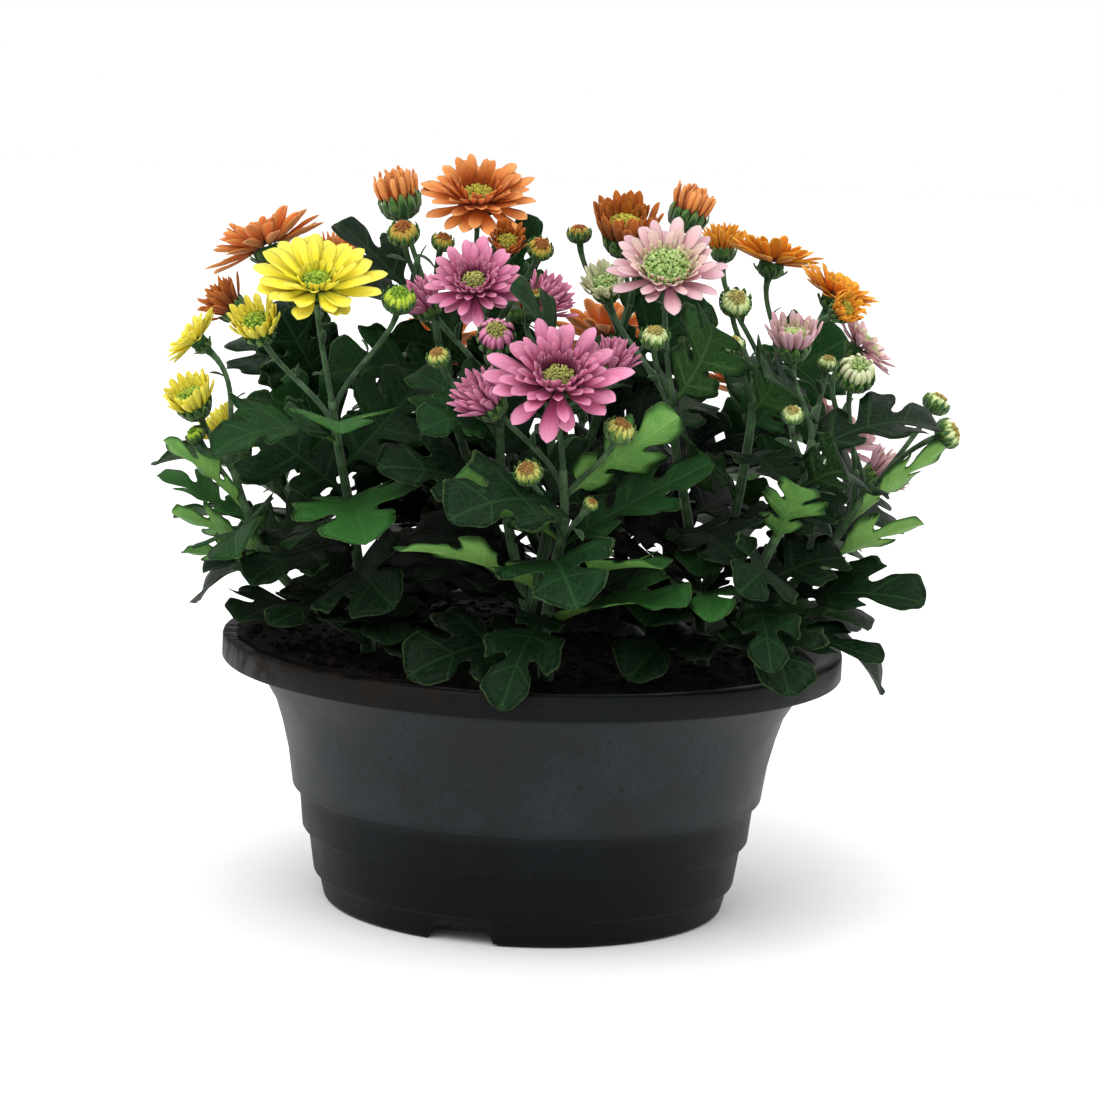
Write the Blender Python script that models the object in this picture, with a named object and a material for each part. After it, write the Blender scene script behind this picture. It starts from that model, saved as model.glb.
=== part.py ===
"""Pot of four chrysanthemum plants in flower: plastic bowl pot, soil, leafy stems, buds and blooms.

Metres, +Z up. The origin is the middle of the flat pad under the pot, and the front faces -Y.
All lengths in the tables are millimetres and are scaled when an object is made.
"""
import math

import bpy
from mathutils import Matrix, Vector
from mathutils.bvhtree import BVHTree

MM = 0.001
GAP = 0.3
TURNS = 28

RIM_RADIUS = 115.0
RIM_HEIGHT = 99.0
FOOT_RADIUS = 75.0
PAD_RADIUS = 40.0

NOTCH_TURNS = (-17.0, 103.0, 223.0)
NOTCH_WIDE = 12.5
NOTCH_NARROW = 10.5
NOTCH_HEIGHT = 5.5
NOTCH_INNER = 69.0
NOTCH_OUTER = 80.0
DRAIN_COUNT = 6
DRAIN_RADIUS = 4.0
DRAIN_CIRCLE = 56.0
DRAIN_CUT = (3.0, 12.0)

SOIL_LEVEL = 95.0
SPILL_AZIMUTH = 199.0
SPILL_HALF_ANGLE = 66.0
SPILL_FADE = 26.0
FOOT_STEM_RADIUS = 2.9
FOOT_STEM_BOTTOM = 82.0
FOOT_STEM_TOP = 99.0

SHOOT_FOOT_RADIUS = 2.3
SHOOT_TOP_RADIUS = 1.3
STALK_RADIUS = 0.95
SHOOT_SIDES = 4
STALK_SIDES = 3
CUP_SIDES = 6

GOLDEN_TURN = math.radians(137.5)
LEAF_STEP = 11.0
LEAF_START = 106.0
LEAF_THICKNESS = 1.1
LEAF_CLEARANCE = 0.45
LEAF_BROADEN = 1.5
LEAF_BARE = 0.22
LEAF_LENGTH = 68.0
LEAF_SHORTER = 18.0
INWARD_SHORTER = 0.25
LEAF_WIDTH_SHARE = 0.72
LEAF_BEND = 64.0
LEAF_RISE = -8.0
LEAF_RISE_MORE = 42.0
LEAF_WAVE = 14.0
LEAF_ROLL = 0.45
LEAF_OUTWARD = 0.75
LEAF_FOLD = 0.16

HUB_STEP = 1.2
HUB_HEIGHT = 2.8
PETAL_BELLY = 0.62
PETAL_FILL = 0.62
OUTER_LIFT = math.radians(7.0)
INNER_LIFT = math.radians(25.0)
HALF_OPEN_LIFT = math.radians(64.0)
HALF_OPEN_FILL = 0.74

# Turned section of the pot as radius and height, from the middle of the pad under it, out, up and back in.
POT_UNDERSIDE = ((PAD_RADIUS, 0.0), (41.7, 6.0), (71.0, 6.0), (71.0, 0.0), (73.0, 0.0))
POT_OUTSIDE = (
    (FOOT_RADIUS, 2.0), (76.8, 9.5), (78.6, 10.0), (81.2, 25.9), (83.2, 26.5), (85.0, 41.8), (87.5, 42.4),
    (89.5, 56.0), (92.1, 66.6), (94.8, 75.0), (97.7, 79.4), (105.8, 93.0), (113.5, 94.3), (113.5, 90.0),
    (RIM_RADIUS, 90.0), (RIM_RADIUS, 98.4), (114.2, RIM_HEIGHT),
)
POT_INSIDE = ((107.6, 98.6), (96.2, 80.0), (93.0, 75.0), (82.5, 38.0), (75.0, 9.0), (40.2, 7.6), (38.6, 2.0))
SOIL_SIDE = ((38.2, 2.35), (39.8, 7.95), (74.4, 9.4), (82.1, 38.0), (92.6, 75.1), (95.8, 80.1))

# Stem foot of each plant in the soil.
FEET = {"yellow": (-60.0, -25.0), "bronze": (0.0, 45.0), "pink": (5.0, -65.0), "pale": (62.0, -25.0)}

# Leafy shoots: the plant, the shoot it grows from with the height there, and the points it passes through.
SHOOTS = {
    "ya": ("yellow", None, 0, ((-62, -32, 115), (-66, -45, 145), (-71, -56, 172), (-74, -62, 191))),
    "yb": ("yellow", "ya", 100, ((-76, -34, 111), (-92, -38, 125), (-103, -39, 144), (-110, -38, 162))),
    "yc": ("yellow", "ya", 106, ((-74, -4, 118), (-88, 24, 132), (-98, 48, 148))),
    "bd": ("bronze", None, 0, ((6, 42, 120), (16, 34, 160), (26, 24, 200), (31, 20, 225))),
    "ba": ("bronze", "bd", 118, ((-6, 36, 142), (-16, 24, 185), (-25, 15, 215))),
    "bb": ("bronze", "bd", 108, ((-14, 36, 130), (-32, 22, 175), (-43, 6, 223))),
    "bc": ("bronze", "bd", 101, ((-22, 47, 115), (-52, 48, 142), (-80, 47, 175), (-93, 45, 206))),
    "be": ("bronze", "bd", 111, ((26, 46, 126), (52, 46, 148), (76, 43, 177), (88, 38, 204))),
    "bg": ("bronze", "bd", 105, ((6, 62, 122), (12, 78, 150), (18, 92, 182))),
    "bf": ("bronze", "bg", 124, ((-16, 74, 140), (-34, 84, 160), (-42, 87, 174))),
    "bh": ("bronze", "bg", 120, ((36, 72, 134), (60, 80, 150), (73, 83, 164))),
    "pa": ("pink", None, 0, ((4, -72, 112), (6, -82, 135), (9, -89, 155), (8, -92, 174))),
    "pb": ("pink", "pa", 105, ((-5, -62, 128), (-13, -66, 165), (-15, -70, 195))),
    "pc": ("pink", "pb", 120, ((4, -54, 150), (3, -50, 185), (0, -50, 208))),
    "wa": ("pale", None, 0, ((60, -32, 116), (54, -44, 150), (47, -55, 182), (44, -60, 204))),
    "wb": ("pale", "wa", 100, ((72, -50, 114), (80, -58, 138), (92, -54, 165), (96, -50, 183))),
    "wc": ("pale", "wa", 120, ((69, -35, 145), (74, -42, 180), (75, -45, 204))),
    "wd": ("pale", "wa", 104, ((76, -27, 114), (93, -32, 128), (107, -34, 145), (116, -35, 160))),
    "we": ("pale", "wa", 106, ((76, -4, 118), (92, 20, 134), (106, 40, 150))),
}

# Flower heads: kind, shoot, height at which the stalk leaves the shoot, middle, facing and diameter.
HEADS = {
    "b1": ("open", "ba", 213, (-27, 15, 261), (0.0, -0.55, 0.83), 46),
    "b2": ("bud", "bb", 218, (-56, 5, 261), (-0.25, -0.1, 0.95), 17),
    "b3": ("closed", "bb", 214, (-53, -15, 249), (-0.1, -0.6, 0.8), 12.5),
    "b4": ("open", "bc", 204, (-107, 40, 239), (-0.42, 0.15, 0.9), 49),
    "b5": ("half", "bc", 192, (-124, 30, 219), (-0.8, -0.1, 0.6), 18),
    "b6": ("half", "bc", 198, (-79, 50, 239), (0.1, 0.0, 1.0), 18),
    "b7": ("half", "ba", 205, (-15, -10, 248), (0.1, -0.75, 0.65), 15),
    "b8": ("closed", "ba", 198, (-3, -12, 245), (0.2, -0.7, 0.7), 10.5),
    "b9": ("closed", "bb", 206, (-39, 5, 245), (0.2, -0.5, 0.8), 9),
    "b10": ("half", "bd", 223, (28, 10, 258), (0.0, -0.45, 0.9), 27),
    "b11": ("bud", "bd", 212, (52, 25, 259), (0.35, 0.0, 0.93), 16),
    "b12": ("closed", "bd", 206, (11, 25, 249), (-0.1, -0.2, 1.0), 10),
    "b13": ("closed", "bd", 200, (32, -2, 246), (0.0, -0.4, 0.9), 10),
    "a14": ("half", "be", 190, (67, 66, 248), (0.0, 0.1, 1.0), 16),
    "a15": ("open", "be", 202, (85, 44, 241), (0.2, 0.1, 0.97), 40),
    "a16": ("open", "be", 194, (107, 12, 232), (0.4, -0.15, 0.88), 34),
    "a17": ("half", "be", 184, (110, -20, 229), (0.65, -0.6, 0.45), 14),
    "k1": ("back", "bf", 172, (-45, 92, 197), (-0.2, 0.45, 0.87), 44),
    "k2": ("back", "bg", 180, (25, 101, 204), (0.05, 0.5, 0.86), 46),
    "k3": ("back", "bh", 162, (80, 90, 188), (0.4, 0.4, 0.82), 42),
    "k4": ("half", "bg", 170, (-12, 76, 222), (-0.1, 0.2, 0.97), 19),
    "k5": ("half", "bh", 156, (52, 70, 214), (0.0, 0.3, 0.95), 18),
    "k6": ("closed", "bf", 164, (-72, 94, 184), (-0.4, 0.3, 0.85), 12),
    "k7": ("closed", "bg", 168, (-2, 114, 192), (-0.2, 0.6, 0.75), 10),
    "k8": ("closed", "bh", 154, (100, 98, 172), (0.5, 0.4, 0.75), 11),
    "y1": ("open", "ya", 189, (-81, -55, 232), (0.0, -0.6, 0.8), 47),
    "y2": ("half", "ya", 178, (-104, -45, 219), (-0.25, -0.65, 0.7), 20),
    "y3": ("open", "yb", 160, (-128, -18, 208), (-0.75, -0.1, 0.65), 26),
    "y4": ("half", "yb", 156, (-128, -35, 191), (-0.35, -0.45, 0.82), 20),
    "y5": ("closed", "ya", 184, (-52, -53, 228), (0.1, -0.6, 0.8), 13),
    "y6": ("closed", "yb", 146, (-125, -30, 174), (-0.5, -0.3, 0.8), 8),
    "yk1": ("back", "yc", 146, (-102, 78, 166), (-0.45, 0.5, 0.74), 42),
    "yk2": ("half", "yc", 140, (-126, 40, 172), (-0.7, 0.1, 0.7), 18),
    "p1": ("open", "pb", 193, (-26, -50, 234), (-0.05, -0.72, 0.7), 39),
    "p2": ("open", "pa", 172, (5, -100, 206), (0.0, -0.68, 0.73), 51),
    "p3": ("half", "pc", 206, (2, -40, 231), (0.55, -0.35, 0.75), 19),
    "p4": ("half", "pb", 186, (-47, -35, 228), (-0.6, -0.3, 0.7), 17),
    "p5": ("bud", "pb", 182, (-17, -75, 218), (0.0, -0.8, 0.6), 14.5),
    "p6": ("half", "pa", 164, (-23, -88, 200), (-0.6, -0.45, 0.65), 20),
    "p7": ("half", "pc", 184, (25, -71, 214), (0.2, -0.2, 0.95), 16),
    "p8": ("closed", "pa", 160, (27, -99, 190), (0.3, -0.4, 0.85), 12),
    "p9": ("closed", "pb", 176, (-37, -75, 210), (-0.3, -0.5, 0.8), 9),
    "p10": ("closed", "pc", 202, (-4, -52, 231), (-0.1, -0.5, 0.8), 5),
    "p11": ("closed", "pa", 150, (-4, -108, 175), (-0.2, -0.7, 0.6), 10.5),
    "p12": ("closed", "pa", 144, (18, -100, 164), (0.4, -0.5, 0.7), 5.5),
    "w1": ("open", "wa", 202, (42, -45, 241), (0.0, -0.65, 0.76), 46),
    "w2": ("half", "wa", 186, (20, -22, 236), (-0.2, -0.65, 0.73), 17.5),
    "w3": ("half", "wb", 181, (88, -40, 223), (-0.05, -0.35, 0.93), 21),
    "w4": ("closed", "wc", 200, (67, -46, 231), (0.1, -0.75, 0.65), 12.5),
    "w5": ("closed", "wa", 192, (38, -72, 220), (0.0, -0.5, 0.86), 11),
    "w6": ("closed", "wc", 192, (66, -60, 217), (-0.2, -0.5, 0.8), 9),
    "w7": ("open", "wd", 158, (117, -3, 214), (0.72, -0.1, 0.68), 32),
    "w8": ("bud", "wd", 152, (112, -37, 207), (0.15, -0.7, 0.7), 15),
    "w9": ("closed", "wb", 172, (103, -16, 208), (0.1, -0.4, 0.9), 8),
    "w10": ("closed", "wb", 168, (87, -75, 195), (0.0, -0.6, 0.8), 8.5),
    "w11": ("closed", "wd", 148, (144, -13, 195), (0.5, 0.0, 0.85), 11),
    "w12": ("closed", "wd", 140, (148, -24, 185), (0.85, -0.2, 0.4), 12),
    "w13": ("closed", "wb", 156, (103, -62, 176), (0.3, -0.5, 0.8), 6),
    "wk1": ("back", "we", 148, (114, 60, 172), (0.5, 0.45, 0.74), 42),
    "wk2": ("half", "we", 142, (132, 22, 166), (0.8, 0.0, 0.6), 18),
}

# Large leaves in view: shoot, height on it, tip, direction of the upper face, width and bend along the leaf.
PLACED_LEAVES = (
    ("pa", 149, (-30, -106, 170), (0.1, 0.8, 0.5), 28, 18),
    ("pa", 164, (46, -100, 194), (0.2, 0.8, 0.5), 24, 18),
    ("pa", 131, (43, -114, 145), (0.0, 0.2, 0.9), 30, 25),
    ("pa", 128, (-46, -116, 148), (0.1, 0.5, 0.8), 24, 25),
    ("pa", 116, (52, -112, 131), (0.0, -0.2, 0.9), 34, 35),
    ("wa", 119, (60, -112, 128), (0.0, -0.3, 0.9), 26, 35),
    ("pa", 146, (60, -82, 177), (-0.2, -0.6, 0.7), 26, 15),
    ("wb", 147, (91, -78, 170), (0.0, 0.9, 0.3), 24, 10),
    ("wd", 118, (138, -60, 128), (0.0, -0.5, 0.9), 32, 35),
    ("wd", 130, (138, -40, 150), (0.1, 0.6, 0.8), 18, 20),
    ("wd", 150, (146, -30, 180), (-0.3, 0.6, 0.6), 16, 15),
    ("wb", 129, (82, -106, 108), (0.1, -0.8, 0.6), 22, 45),
    ("wb", 112, (124, -68, 107), (0.0, -0.4, 0.9), 18, 30),
    ("pa", 120, (-4, -124, 95), (0.0, -0.7, 0.7), 26, 75),
    ("yb", 127, (-126, -52, 134), (0.0, 0.6, 0.8), 16, 20),
    ("yb", 130, (-133, -28, 144), (0.2, 0.6, 0.8), 18, 20),
    ("yb", 148, (-135, -44, 172), (0.4, 0.5, 0.7), 18, 20),
    ("yb", 142, (-138, -30, 158), (0.2, -0.4, 0.9), 20, 25),
    ("ya", 147, (-86, -78, 141), (0.1, 0.5, 0.8), 18, 25),
    ("ya", 112, (-92, -88, 114), (0.1, -0.5, 0.8), 22, 40),
    ("ya", 180, (-68, -98, 184), (0.0, -0.3, 0.9), 36, 40),
    ("ya", 154, (-58, -104, 146), (0.0, -0.8, 0.6), 44, 50),
    ("bb", 214, (-79, 24, 249), (0.3, -0.6, 0.6), 24, 15),
    ("ba", 208, (-6, 26, 254), (-0.2, -0.8, 0.4), 20, 15),
    ("pa", 110, (-42, -104, 103), (0.0, -0.6, 0.7), 34, 45),
    ("ya", 107, (-40, -90, 106), (0.0, -0.6, 0.7), 34, 40),
    ("wa", 107, (34, -98, 104), (0.0, -0.6, 0.7), 34, 45),
    ("yb", 113, (-104, -66, 111), (-0.4, -0.6, 0.7), 32, 40),
    ("wd", 116, (118, -44, 113), (0.4, -0.6, 0.7), 32, 40),
    ("bb", 192, (-78, -10, 196), (-0.3, -0.8, 0.6), 36, 40),
    ("bb", 170, (-26, -28, 180), (0.0, -0.8, 0.6), 36, 45),
    ("bd", 180, (62, 0, 192), (0.2, -0.8, 0.6), 36, 40),
    ("bd", 140, (14, -18, 150), (0.0, -0.8, 0.6), 36, 45),
    ("wc", 175, (100, -76, 168), (0.2, -0.8, 0.5), 34, 40),
    ("yc", 118, (-122, -14, 122), (-0.7, -0.3, 0.6), 34, 45),
    ("yc", 130, (-136, 10, 136), (-0.7, 0.0, 0.6), 34, 45),
    ("bc", 132, (-72, 2, 140), (-0.7, -0.3, 0.6), 34, 45),
    ("bc", 122, (-74, 88, 118), (-0.4, 0.6, 0.7), 34, 45),
    ("we", 122, (124, -2, 124), (0.7, 0.0, 0.7), 34, 45),
    ("be", 155, (104, 62, 150), (0.6, 0.3, 0.7), 34, 45),
    ("bd", 108, (-46, 2, 116), (0.0, -0.5, 0.8), 36, 35),
    ("bd", 106, (40, 0, 113), (0.0, -0.5, 0.8), 36, 35),
    ("bd", 116, (-14, -22, 128), (0.0, -0.6, 0.8), 36, 35),
    ("bd", 128, (46, 8, 148), (0.2, -0.7, 0.7), 34, 35),
    ("wa", 136, (30, -62, 150), (-0.1, -0.7, 0.7), 32, 35),
    ("ya", 124, (-14, -44, 126), (0.1, -0.6, 0.8), 34, 35),
    ("ya", 105, (-26, -66, 112), (0.0, -0.6, 0.8), 30, 35),
    ("ya", 109, (-62, -98, 106), (0.0, -0.6, 0.7), 32, 40),
    ("ya", 118, (-30, -72, 118), (0.2, -0.6, 0.7), 32, 35),
    ("ya", 136, (-100, -74, 128), (-0.3, -0.6, 0.7), 30, 40),
    ("pa", 106, (-22, -108, 103), (-0.1, -0.6, 0.7), 30, 40),
    ("wa", 128, (24, -86, 134), (-0.2, -0.6, 0.7), 34, 40),
    ("wa", 148, (70, -86, 142), (0.1, -0.7, 0.6), 34, 40),
    ("bc", 146, (-60, 18, 182), (-0.1, -0.8, 0.5), 42, 30),
    ("bc", 158, (-104, 30, 182), (-0.3, -0.8, 0.5), 42, 30),
    ("bc", 186, (-118, 32, 208), (-0.3, -0.8, 0.5), 38, 30),
    ("ya", 156, (-108, -36, 184), (-0.3, -0.8, 0.5), 38, 30),
    ("ya", 166, (-44, -34, 196), (0.2, -0.8, 0.5), 38, 30),
    ("be", 152, (56, 16, 184), (0.1, -0.8, 0.5), 42, 30),
    ("be", 166, (108, 28, 188), (0.3, -0.8, 0.5), 42, 30),
    ("be", 190, (114, 36, 212), (0.3, -0.8, 0.5), 36, 30),
    ("bd", 198, (60, 12, 224), (0.2, -0.8, 0.5), 38, 30),
    ("ba", 186, (-8, 4, 216), (0.1, -0.8, 0.5), 36, 30),
    ("wb", 150, (118, -44, 186), (0.2, -0.8, 0.5), 34, 30),
    ("wc", 184, (92, -34, 206), (0.2, -0.8, 0.5), 32, 30),
    ("bc", 178, (-98, 26, 214), (-0.1, -0.8, 0.5), 34, 30),
    ("ya", 162, (-58, -30, 204), (0.1, -0.8, 0.5), 30, 30),
    ("be", 136, (60, 12, 150), (0.0, -0.8, 0.5), 40, 30),
)

# Half outline of a leaf as length and width fractions from the stalk to the tip: two lobes and a tip lobe.
LEAF_EDGE = ((0.0, 0.05), (0.34, 0.66), (0.45, 0.38), (0.66, 1.0), (0.77, 0.54))
LEAF_RIB = (0.0, 0.4, 0.7)
LEAF_HALF_FACES = (
    ("r0", 0, 1), ("r0", 1, "r1"), ("r1", 1, 2), ("r1", 2, "r2"),
    ("r2", 2, 3), ("r2", 3, 4), ("r2", 4, "tip"),
)

# Turn, lift in degrees and length factor that are tried in turn until a leaf is clear of its neighbours.
LEAF_TRIALS = (
    (0, 0, 1.0), (14, 0, 1.0), (-14, 0, 1.0), (0, 14, 1.0), (0, -14, 1.0), (24, 10, 0.92), (-24, 10, 0.92),
    (24, -12, 0.92), (-24, -12, 0.92), (0, 26, 0.86), (0, -26, 0.86), (36, 0, 0.8), (-36, 0, 0.8),
    (0, 0, 0.7), (18, 22, 0.7), (-18, 22, 0.7), (30, -22, 0.66), (-30, -22, 0.66), (0, 34, 0.55), (0, 0, 0.5),
)

COLOURS = {
    "pot": (0.030, 0.040, 0.048), "soil": (0.030, 0.020, 0.014), "green": (0.028, 0.095, 0.030),
    "yellow": (0.90, 0.80, 0.03), "bronze": (0.78, 0.20, 0.04), "amber": (0.85, 0.27, 0.01),
    "pink": (0.66, 0.16, 0.42), "pale": (0.88, 0.58, 0.66), "cream": (0.75, 0.80, 0.50),
    "eye_green": (0.38, 0.52, 0.05), "eye_lime": (0.45, 0.75, 0.18),
}


def clear_scene():
    """Remove the objects that the file opens with."""
    for thing in list(bpy.data.objects):
        bpy.data.objects.remove(thing, do_unlink=True)


def make_material(name, colour, roughness):
    """Principled material of one colour."""
    material = bpy.data.materials.new(name)
    material.use_nodes = True
    shader = material.node_tree.nodes["Principled BSDF"]
    shader.inputs["Base Color"].default_value = (*COLOURS[colour], 1.0)
    shader.inputs["Roughness"].default_value = roughness
    shader.inputs["Metallic"].default_value = 0.0
    return material


def make_object(name, shape, colour, roughness=0.6):
    """Object from a shape, which is a list of points in millimetres and a list of faces."""
    points, faces = shape
    mesh = bpy.data.meshes.new(name)
    mesh.from_pydata([tuple(p * MM for p in point) for point in points], [], faces)
    mesh.validate()
    mesh.update()
    thing = bpy.data.objects.new(name, mesh)
    bpy.context.scene.collection.objects.link(thing)
    if colour is not None:
        mesh.materials.append(make_material(name, colour, roughness))
    return thing


def apply_modifiers(thing):
    """Replace the object's mesh by the mesh that its modifiers give."""
    graph = bpy.context.evaluated_depsgraph_get()
    result = bpy.data.meshes.new_from_object(thing.evaluated_get(graph))
    thing.modifiers.clear()
    thing.data = result


def combine(target, others, operation):
    """One Boolean of the target with a collection of objects, applied, with the collection then removed."""
    group = bpy.data.collections.new(target.name + "_group")
    bpy.context.scene.collection.children.link(group)
    for other in others:
        bpy.context.scene.collection.objects.unlink(other)
        group.objects.link(other)
    step = target.modifiers.new(operation, "BOOLEAN")
    step.operation = operation
    step.operand_type = "COLLECTION"
    step.collection = group
    step.solver = "EXACT"
    apply_modifiers(target)
    for other in list(group.objects):
        bpy.data.objects.remove(other, do_unlink=True)
    bpy.data.collections.remove(group)


def turned(rings, bottom, top):
    """Closed turned body: rings of points in order from the bottom, out and up, closed by two end points."""
    count = len(rings[0])
    points = [bottom]
    for ring in rings:
        points.extend(ring)
    points.append(top)
    faces = []
    for j in range(count):
        k = (j + 1) % count
        faces.append((0, 1 + k, 1 + j))
        for i in range(len(rings) - 1):
            low = 1 + i * count
            high = low + count
            faces.append((low + j, low + k, high + k, high + j))
        last = 1 + (len(rings) - 1) * count
        faces.append((last + j, last + k, len(points) - 1))
    return points, faces


def ring_points(radius, height, count, turn):
    """Circle of points round the Z axis."""
    angles = [turn + math.tau * j / count for j in range(count)]
    return [Vector((radius * math.cos(angle), radius * math.sin(angle), height)) for angle in angles]


def circle(radius, height):
    """Ring of points round the pot's axis."""
    return ring_points(radius, height, TURNS, 0.0)


def prism(centre, outline, low, high):
    """Upright block of a plan outline, listed anticlockwise seen from above."""
    count = len(outline)
    points = [Vector((centre[0] + x, centre[1] + y, low)) for x, y in outline]
    points += [Vector((centre[0] + x, centre[1] + y, high)) for x, y in outline]
    faces = [tuple(range(count))[::-1], tuple(range(count, 2 * count))]
    for j in range(count):
        k = (j + 1) % count
        faces.append((j, k, count + k, count + j))
    return points, faces


def polygon(radius, sides):
    """Corners of a regular polygon."""
    angles = [math.tau * j / sides for j in range(sides)]
    return [(radius * math.cos(angle), radius * math.sin(angle)) for angle in angles]


def notch_shape(turn):
    """Trapezoid block that cuts a notch through the foot ring, wider at the bottom."""
    points = []
    for reach in (NOTCH_INNER, NOTCH_OUTER):
        for side, height in ((-NOTCH_WIDE, -1.0), (NOTCH_WIDE, -1.0), (NOTCH_NARROW, NOTCH_HEIGHT),
                             (-NOTCH_NARROW, NOTCH_HEIGHT)):
            points.append(Vector((side, -reach, height)))
    spin = Matrix.Rotation(math.radians(turn), 3, "Z")
    points = [spin @ point for point in points]
    faces = [(0, 3, 2, 1), (4, 5, 6, 7), (0, 1, 5, 4), (1, 2, 6, 5), (2, 3, 7, 6), (3, 0, 4, 7)]
    return points, faces


def make_pot():
    """Turned plastic bowl pot, with notches in its foot ring and drain holes in the raised floor."""
    profile = POT_UNDERSIDE + POT_OUTSIDE + POT_INSIDE
    rings = [circle(radius, height) for radius, height in profile]
    pot = make_object("pot", turned(rings, Vector((0, 0, 0)), Vector((0, 0, 2.0))), "pot", 0.42)
    cutters = []
    for number, turn in enumerate(NOTCH_TURNS):
        cutters.append(make_object("notch_cut_%d" % number, notch_shape(turn), None))
    for number in range(DRAIN_COUNT):
        angle = math.tau * (number + 0.5) / DRAIN_COUNT
        centre = (DRAIN_CIRCLE * math.cos(angle), DRAIN_CIRCLE * math.sin(angle))
        block = prism(centre, polygon(DRAIN_RADIUS, 8), *DRAIN_CUT)
        cutters.append(make_object("drain_cut_%d" % number, block, None))
    combine(pot, cutters, "DIFFERENCE")


def spill(angle):
    """How far the soil lies out over the rim at this direction, from 0 to 1."""
    away = abs((math.degrees(angle) - SPILL_AZIMUTH + 180.0) % 360.0 - 180.0)
    share = max(0.0, min(1.0, (SPILL_HALF_ANGLE - away) / SPILL_FADE))
    return share * share * (3.0 - 2.0 * share)


def soil_height(x, y):
    """Uneven top of the soil."""
    ripple = math.sin(0.11 * x + 1.3) * math.cos(0.13 * y - 0.4) + 0.6 * math.sin(0.21 * x - 0.17 * y)
    return SOIL_LEVEL + 1.1 * ripple


def make_soil():
    """Soil that fills the pot, uneven on top and spilled over the rim on the left."""
    rings = [circle(radius, height) for radius, height in SOIL_SIDE]
    low, bank, edge, shoulder = [], [], [], []
    for j in range(TURNS):
        angle = math.tau * j / TURNS
        way = Vector((math.cos(angle), math.sin(angle), 0.0))
        share = spill(angle)
        over = max(0.0, (share - 0.9) / 0.1)
        up = Vector((0.0, 0.0, share))
        low.append(way * 103.4 + Vector((0, 0, 93.4)))
        bank.append(way * (103.6 + 3.1 * share) + Vector((0, 0, 94.3)) + up * 4.9)
        edge.append(way * (103.4 + 3.1 * share + 3.8 * over) + Vector((0, 0, 95.0 + 0.2 * over)) + up * 4.7)
        shoulder.append(way * (102.0 + 2.0 * share + 2.6 * over) + Vector((0, 0, 95.7)) + up * 4.9)
    rings += [low, bank, edge, shoulder]
    for radius in (78.0, 38.0):
        ring = circle(radius, 0.0)
        for point in ring:
            point.z = soil_height(point.x, point.y)
        rings.append(ring)
    bottom = Vector((0, 0, SOIL_SIDE[0][1]))
    top = Vector((0, 0, soil_height(0, 0)))
    soil = make_object("soil", turned(rings, bottom, top), "soil", 0.95)
    cutters = []
    for plant, foot in FEET.items():
        outline = polygon(FOOT_STEM_RADIUS + GAP * 1.2, 6)
        block = prism(foot, outline, FOOT_STEM_BOTTOM - GAP, RIM_HEIGHT + 10.0)
        cutters.append(make_object(plant + "_hole", block, None))
    combine(soil, cutters, "DIFFERENCE")


def tube(path, radii, sides):
    """Closed tube: a ring of corners round every point of the path, turned no more than the path needs."""
    tangents = []
    for i in range(len(path)):
        ahead = path[min(i + 1, len(path) - 1)] - path[max(i - 1, 0)]
        tangents.append(ahead.normalized())
    start = Vector((1, 0, 0)) if abs(tangents[0].x) < 0.8 else Vector((0, 1, 0))
    side = (start - tangents[0] * start.dot(tangents[0])).normalized()
    points = []
    for centre, radius, tangent in zip(path, radii, tangents):
        side = (side - tangent * side.dot(tangent)).normalized()
        other = tangent.cross(side)
        for j in range(sides):
            angle = math.tau * j / sides
            points.append(centre + (side * math.cos(angle) + other * math.sin(angle)) * radius)
    faces = [tuple(range(sides))[::-1]]
    for i in range(len(path) - 1):
        for j in range(sides):
            k = (j + 1) % sides
            faces.append((i * sides + j, i * sides + k, (i + 1) * sides + k, (i + 1) * sides + j))
    faces.append(tuple((len(path) - 1) * sides + j for j in range(sides)))
    return points, faces


def shoot_path(name):
    """Points of a shoot from inside the stem that it grows from to its top."""
    plant, parent, height, way = SHOOTS[name]
    if parent is None:
        start = Vector((*FEET[plant], FOOT_STEM_TOP - 4.0))
    else:
        start, _ = along(shoot_path(parent), height)
    return [start] + [Vector(point) for point in way]


def along(path, height):
    """Point of a path at this height, and the path's direction there."""
    for low, high in zip(path, path[1:]):
        if height <= high.z or high is path[-1]:
            share = (height - low.z) / (high.z - low.z)
            return low.lerp(high, min(1.0, share)), (high - low).normalized()
    return path[-1], Vector((0, 0, 1))


def curve(start, leave, arrive, end, steps):
    """Points of a smooth stalk that leaves and arrives along the given vectors."""
    points = []
    for i in range(steps + 1):
        t = i / steps
        s = 1.0 - t
        points.append(
            start * s ** 3 + (start + leave) * 3 * s * s * t + (end - arrive) * 3 * s * t * t + end * t ** 3
        )
    return points


def head_base(kind, middle, facing, size):
    """Point on a head's axis where its green cup ends and the petals sit."""
    drop = {"open": 3.2, "back": 3.2, "half": 0.42 * size, "bud": 0.08 * size, "closed": 0.0}[kind]
    return middle - facing * drop


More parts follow.
